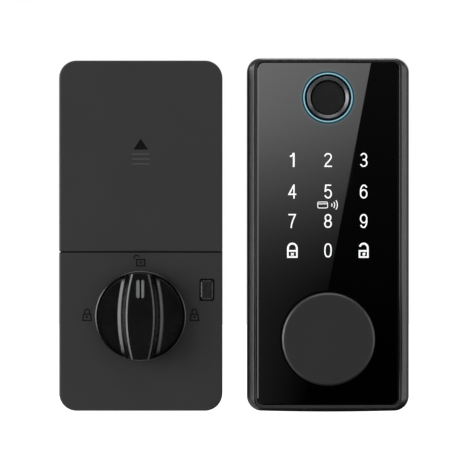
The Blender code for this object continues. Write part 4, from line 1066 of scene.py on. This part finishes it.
def add_camera():
    """The camera at the photograph's angle. Gives its place."""
    data = bpy.data.cameras.new("camera")
    data.lens = data.sensor_width * CAMERA_DISTANCE / VIEW_WIDTH
    data.clip_end = 100
    camera = add_object("camera", data)
    back = Vector((0, -cos(CAMERA_TILT), sin(CAMERA_TILT))) * CAMERA_DISTANCE
    camera.location = CAMERA_TARGET + back
    camera.rotation_euler = (pi / 2 - CAMERA_TILT, 0, 0)
    bpy.context.scene.camera = camera
    return camera.location


def glow(name):
    """A material that only glows. Gives its tree and its light too."""
    material = bpy.data.materials.new(name)
    material.use_nodes = True
    tree = material.node_tree
    tree.nodes.clear()
    light = add_node(tree, "ShaderNodeEmission", {"Color": WHITE, "Strength": 0})
    add_node(tree, "ShaderNodeOutputMaterial", {"Surface": light.outputs["Emission"]})
    return material, tree, light.inputs


def worked_out(tree, operation, *inputs):
    return add_node(tree, "ShaderNodeMath", dict(enumerate(inputs)), operation=operation).outputs["Value"]


def shares_of(tree):
    """How far across its card a point lies, and how far up it, from 0 to 1."""
    uv = add_node(tree, "ShaderNodeUVMap", uv_map="share").outputs["UV"]
    parts = add_node(tree, "ShaderNodeSeparateXYZ", {"Vector": uv})
    return parts.outputs["X"], parts.outputs["Y"]


def grey_ramp(tree, factor, *stops):
    return add_ramp(tree, factor, [(position, [value] * 3) for position, value in stops], "B_SPLINE")


def add_sheet(name, corners, shares, faces, material):
    """A sheet that only reflections and soft light see."""
    mesh = bpy.data.meshes.new(name)
    mesh.from_pydata(corners, [], faces)
    layer = mesh.uv_layers.new(name="share")
    for loop, uv in zip(mesh.loops, layer.data):
        uv.uv = shares[loop.vertex_index]
    mesh.materials.append(material)
    sheet = add_object(name, mesh)
    sheet.visible_camera = False
    sheet.visible_shadow = False
    return sheet


def add_flag(name, low, high, material):
    """A rectangle between two opposite corners that share a depth or a height."""
    (left, near, foot), (right, far, head) = low, high
    corners = [(left, near, foot), (right, near, foot), (right, far, head), (left, far, head)]
    return add_sheet(name, corners, [(0, 0), (1, 0), (1, 1), (0, 1)], [(0, 1, 2, 3)], material)


def seen_in_glass(camera, x, y):
    """Where a card must reach, for the camera to see it at (x, y) of the glass."""
    at = EXTERIOR @ Vector((x, y, GLASS_HIGH.z))
    stretch = CARD_DISTANCE / (at.y - camera.y)
    return (at.x + (at.x - camera.x) * stretch, at.y - CARD_DISTANCE, at.z + (at.z - camera.z) * stretch)


def add_card(name, camera, left, right, material):
    """A card whose edges the glass shows at left and right, each from its foot to its head."""
    low, high, rows = -2, 160, 24
    corners, shares = [], []
    for i in range(rows + 1):
        share = i / rows
        for column, (foot, head) in enumerate((left, right)):
            corners.append(seen_in_glass(camera, foot + (head - foot) * share, low + (high - low) * share))
            shares.append((column, share))
    faces = [(2 * i, 2 * i + 1, 2 * i + 3, 2 * i + 2) for i in range(rows)]
    add_sheet(name, corners, shares, faces, material)


def add_glass_cards(camera):
    """What the glass mirrors: a slanted card that fades downwards, and darkness beside it."""
    dark, _, _ = glow("flag")
    behind_camera = camera.y - 0.6
    add_flag("black_flag", (-1.7, behind_camera, -0.28), (1.7, behind_camera, 1.6), dark)
    add_flag("lower_flag", (0, -0.08, -0.03), (0.2, 0.15, -0.03), dark)
    side_flag = add_flag("side_flag", (-1, -1, -0.29), (-0.3, -0.3, -0.29), dark)
    side_flag.visible_diffuse = False

    left, slant, right = (-34, -34), (-10.8, 19.9), (40, 40)
    material, tree, light = glow("slanted_card")
    across, up = shares_of(tree)
    fade = ((0, 0.058), (0.25, 0.066), (0.40, 0.09), (0.55, 0.23), (0.70, 0.54), (0.82, 0.80), (1, 1))
    loss = ((0, 1), (0.26, 0.95), (0.37, 0.68), (0.46, 0.46), (0.62, 0.34), (1, 0.22))
    lost = worked_out(tree, "MULTIPLY", grey_ramp(tree, up, *loss), across)
    feed(tree, light["Strength"], worked_out(tree, "MULTIPLY_ADD", lost, -CARD_STRENGTH, CARD_STRENGTH))
    feed(tree, light["Color"], grey_ramp(tree, up, *fade))
    add_card("slanted_card", camera, left, slant, material)

    material, tree, light = glow("faint_card")
    faint = worked_out(tree, "POWER", shares_of(tree)[1], 1.6)
    feed(tree, light["Strength"], worked_out(tree, "MULTIPLY", faint, 0.085))
    add_card("faint_card", camera, slant, right, material)


def white_to_camera(tree, strength):
    """A strength of 1 where the camera looks, and another for the light that falls on things."""
    seen = add_node(tree, "ShaderNodeLightPath").outputs["Is Camera Ray"]
    inputs = {"Value": seen, "To Min": strength, "To Max": 1}
    return add_node(tree, "ShaderNodeMapRange", inputs).outputs["Result"]


def add_area(name, place, size, power):
    data = bpy.data.lights.new(name, "AREA")
    configure(data, {"shape": "RECTANGLE", "size": size[0], "size_y": size[1], "energy": power})
    light = add_object(name, data)
    light.location = place
    aim = Vector((0, 0, 0.08))
    light.rotation_euler = (aim - Vector(place)).to_track_quat("-Z", "Y").to_euler()


def add_studio(camera):
    """A white surround and floor, soft boxes all round, and the glass's cards."""
    scene = bpy.context.scene
    scene.view_settings.view_transform = "Standard"
    scene.view_settings.look = "None"
    world = bpy.data.worlds.new("studio")
    world.use_nodes = True
    background = world.node_tree.nodes["Background"]
    background.inputs["Color"].default_value = WHITE
    feed(world.node_tree, background.inputs["Strength"], white_to_camera(world.node_tree, AMBIENT))
    scene.world = world

    pale = Look("pale_floor", (0.90, 0.90, 0.90), 0.7, Emission_Color=WHITE)
    pale.set(Emission_Strength=white_to_camera(pale.tree, 0)).tint(pale.noise(3), 0.01)
    mesh = bpy.data.meshes.new("floor")
    spots = ((-1, -1), (1, -1), (1, 1), (-1, 1))
    mesh.from_pydata([(x * FLOOR_REACH, y * FLOOR_REACH, FLOOR_Z) for x, y in spots], [], [(0, 1, 2, 3)])
    mesh.materials.append(pale.material)
    add_object("floor", mesh)

    add_area("left_box", (-1.5, -0.9, 0.25), (0.9, 1.3), 33)
    add_area("right_box", (1.5, -0.8, 0.25), (0.7, 1.3), 9)
    add_area("top_box", (0, -0.7, 1.6), (1.6, 0.7), 14)
    add_area("rear_box", (0.5, 1.6, 0.9), (1.4, 1), 10)
    add_glass_cards(camera)


# Everything --------

add_exterior_housing()
add_glass()
add_legends()
add_reader()
add_knob()
add_interior_housing()
add_battery_cover()
add_thumbturn()
add_set_button()
add_batteries()
add_through_bolts()
add_bolt_posts()
add_tailpiece()
dress_the_rest()
add_studio(add_camera())
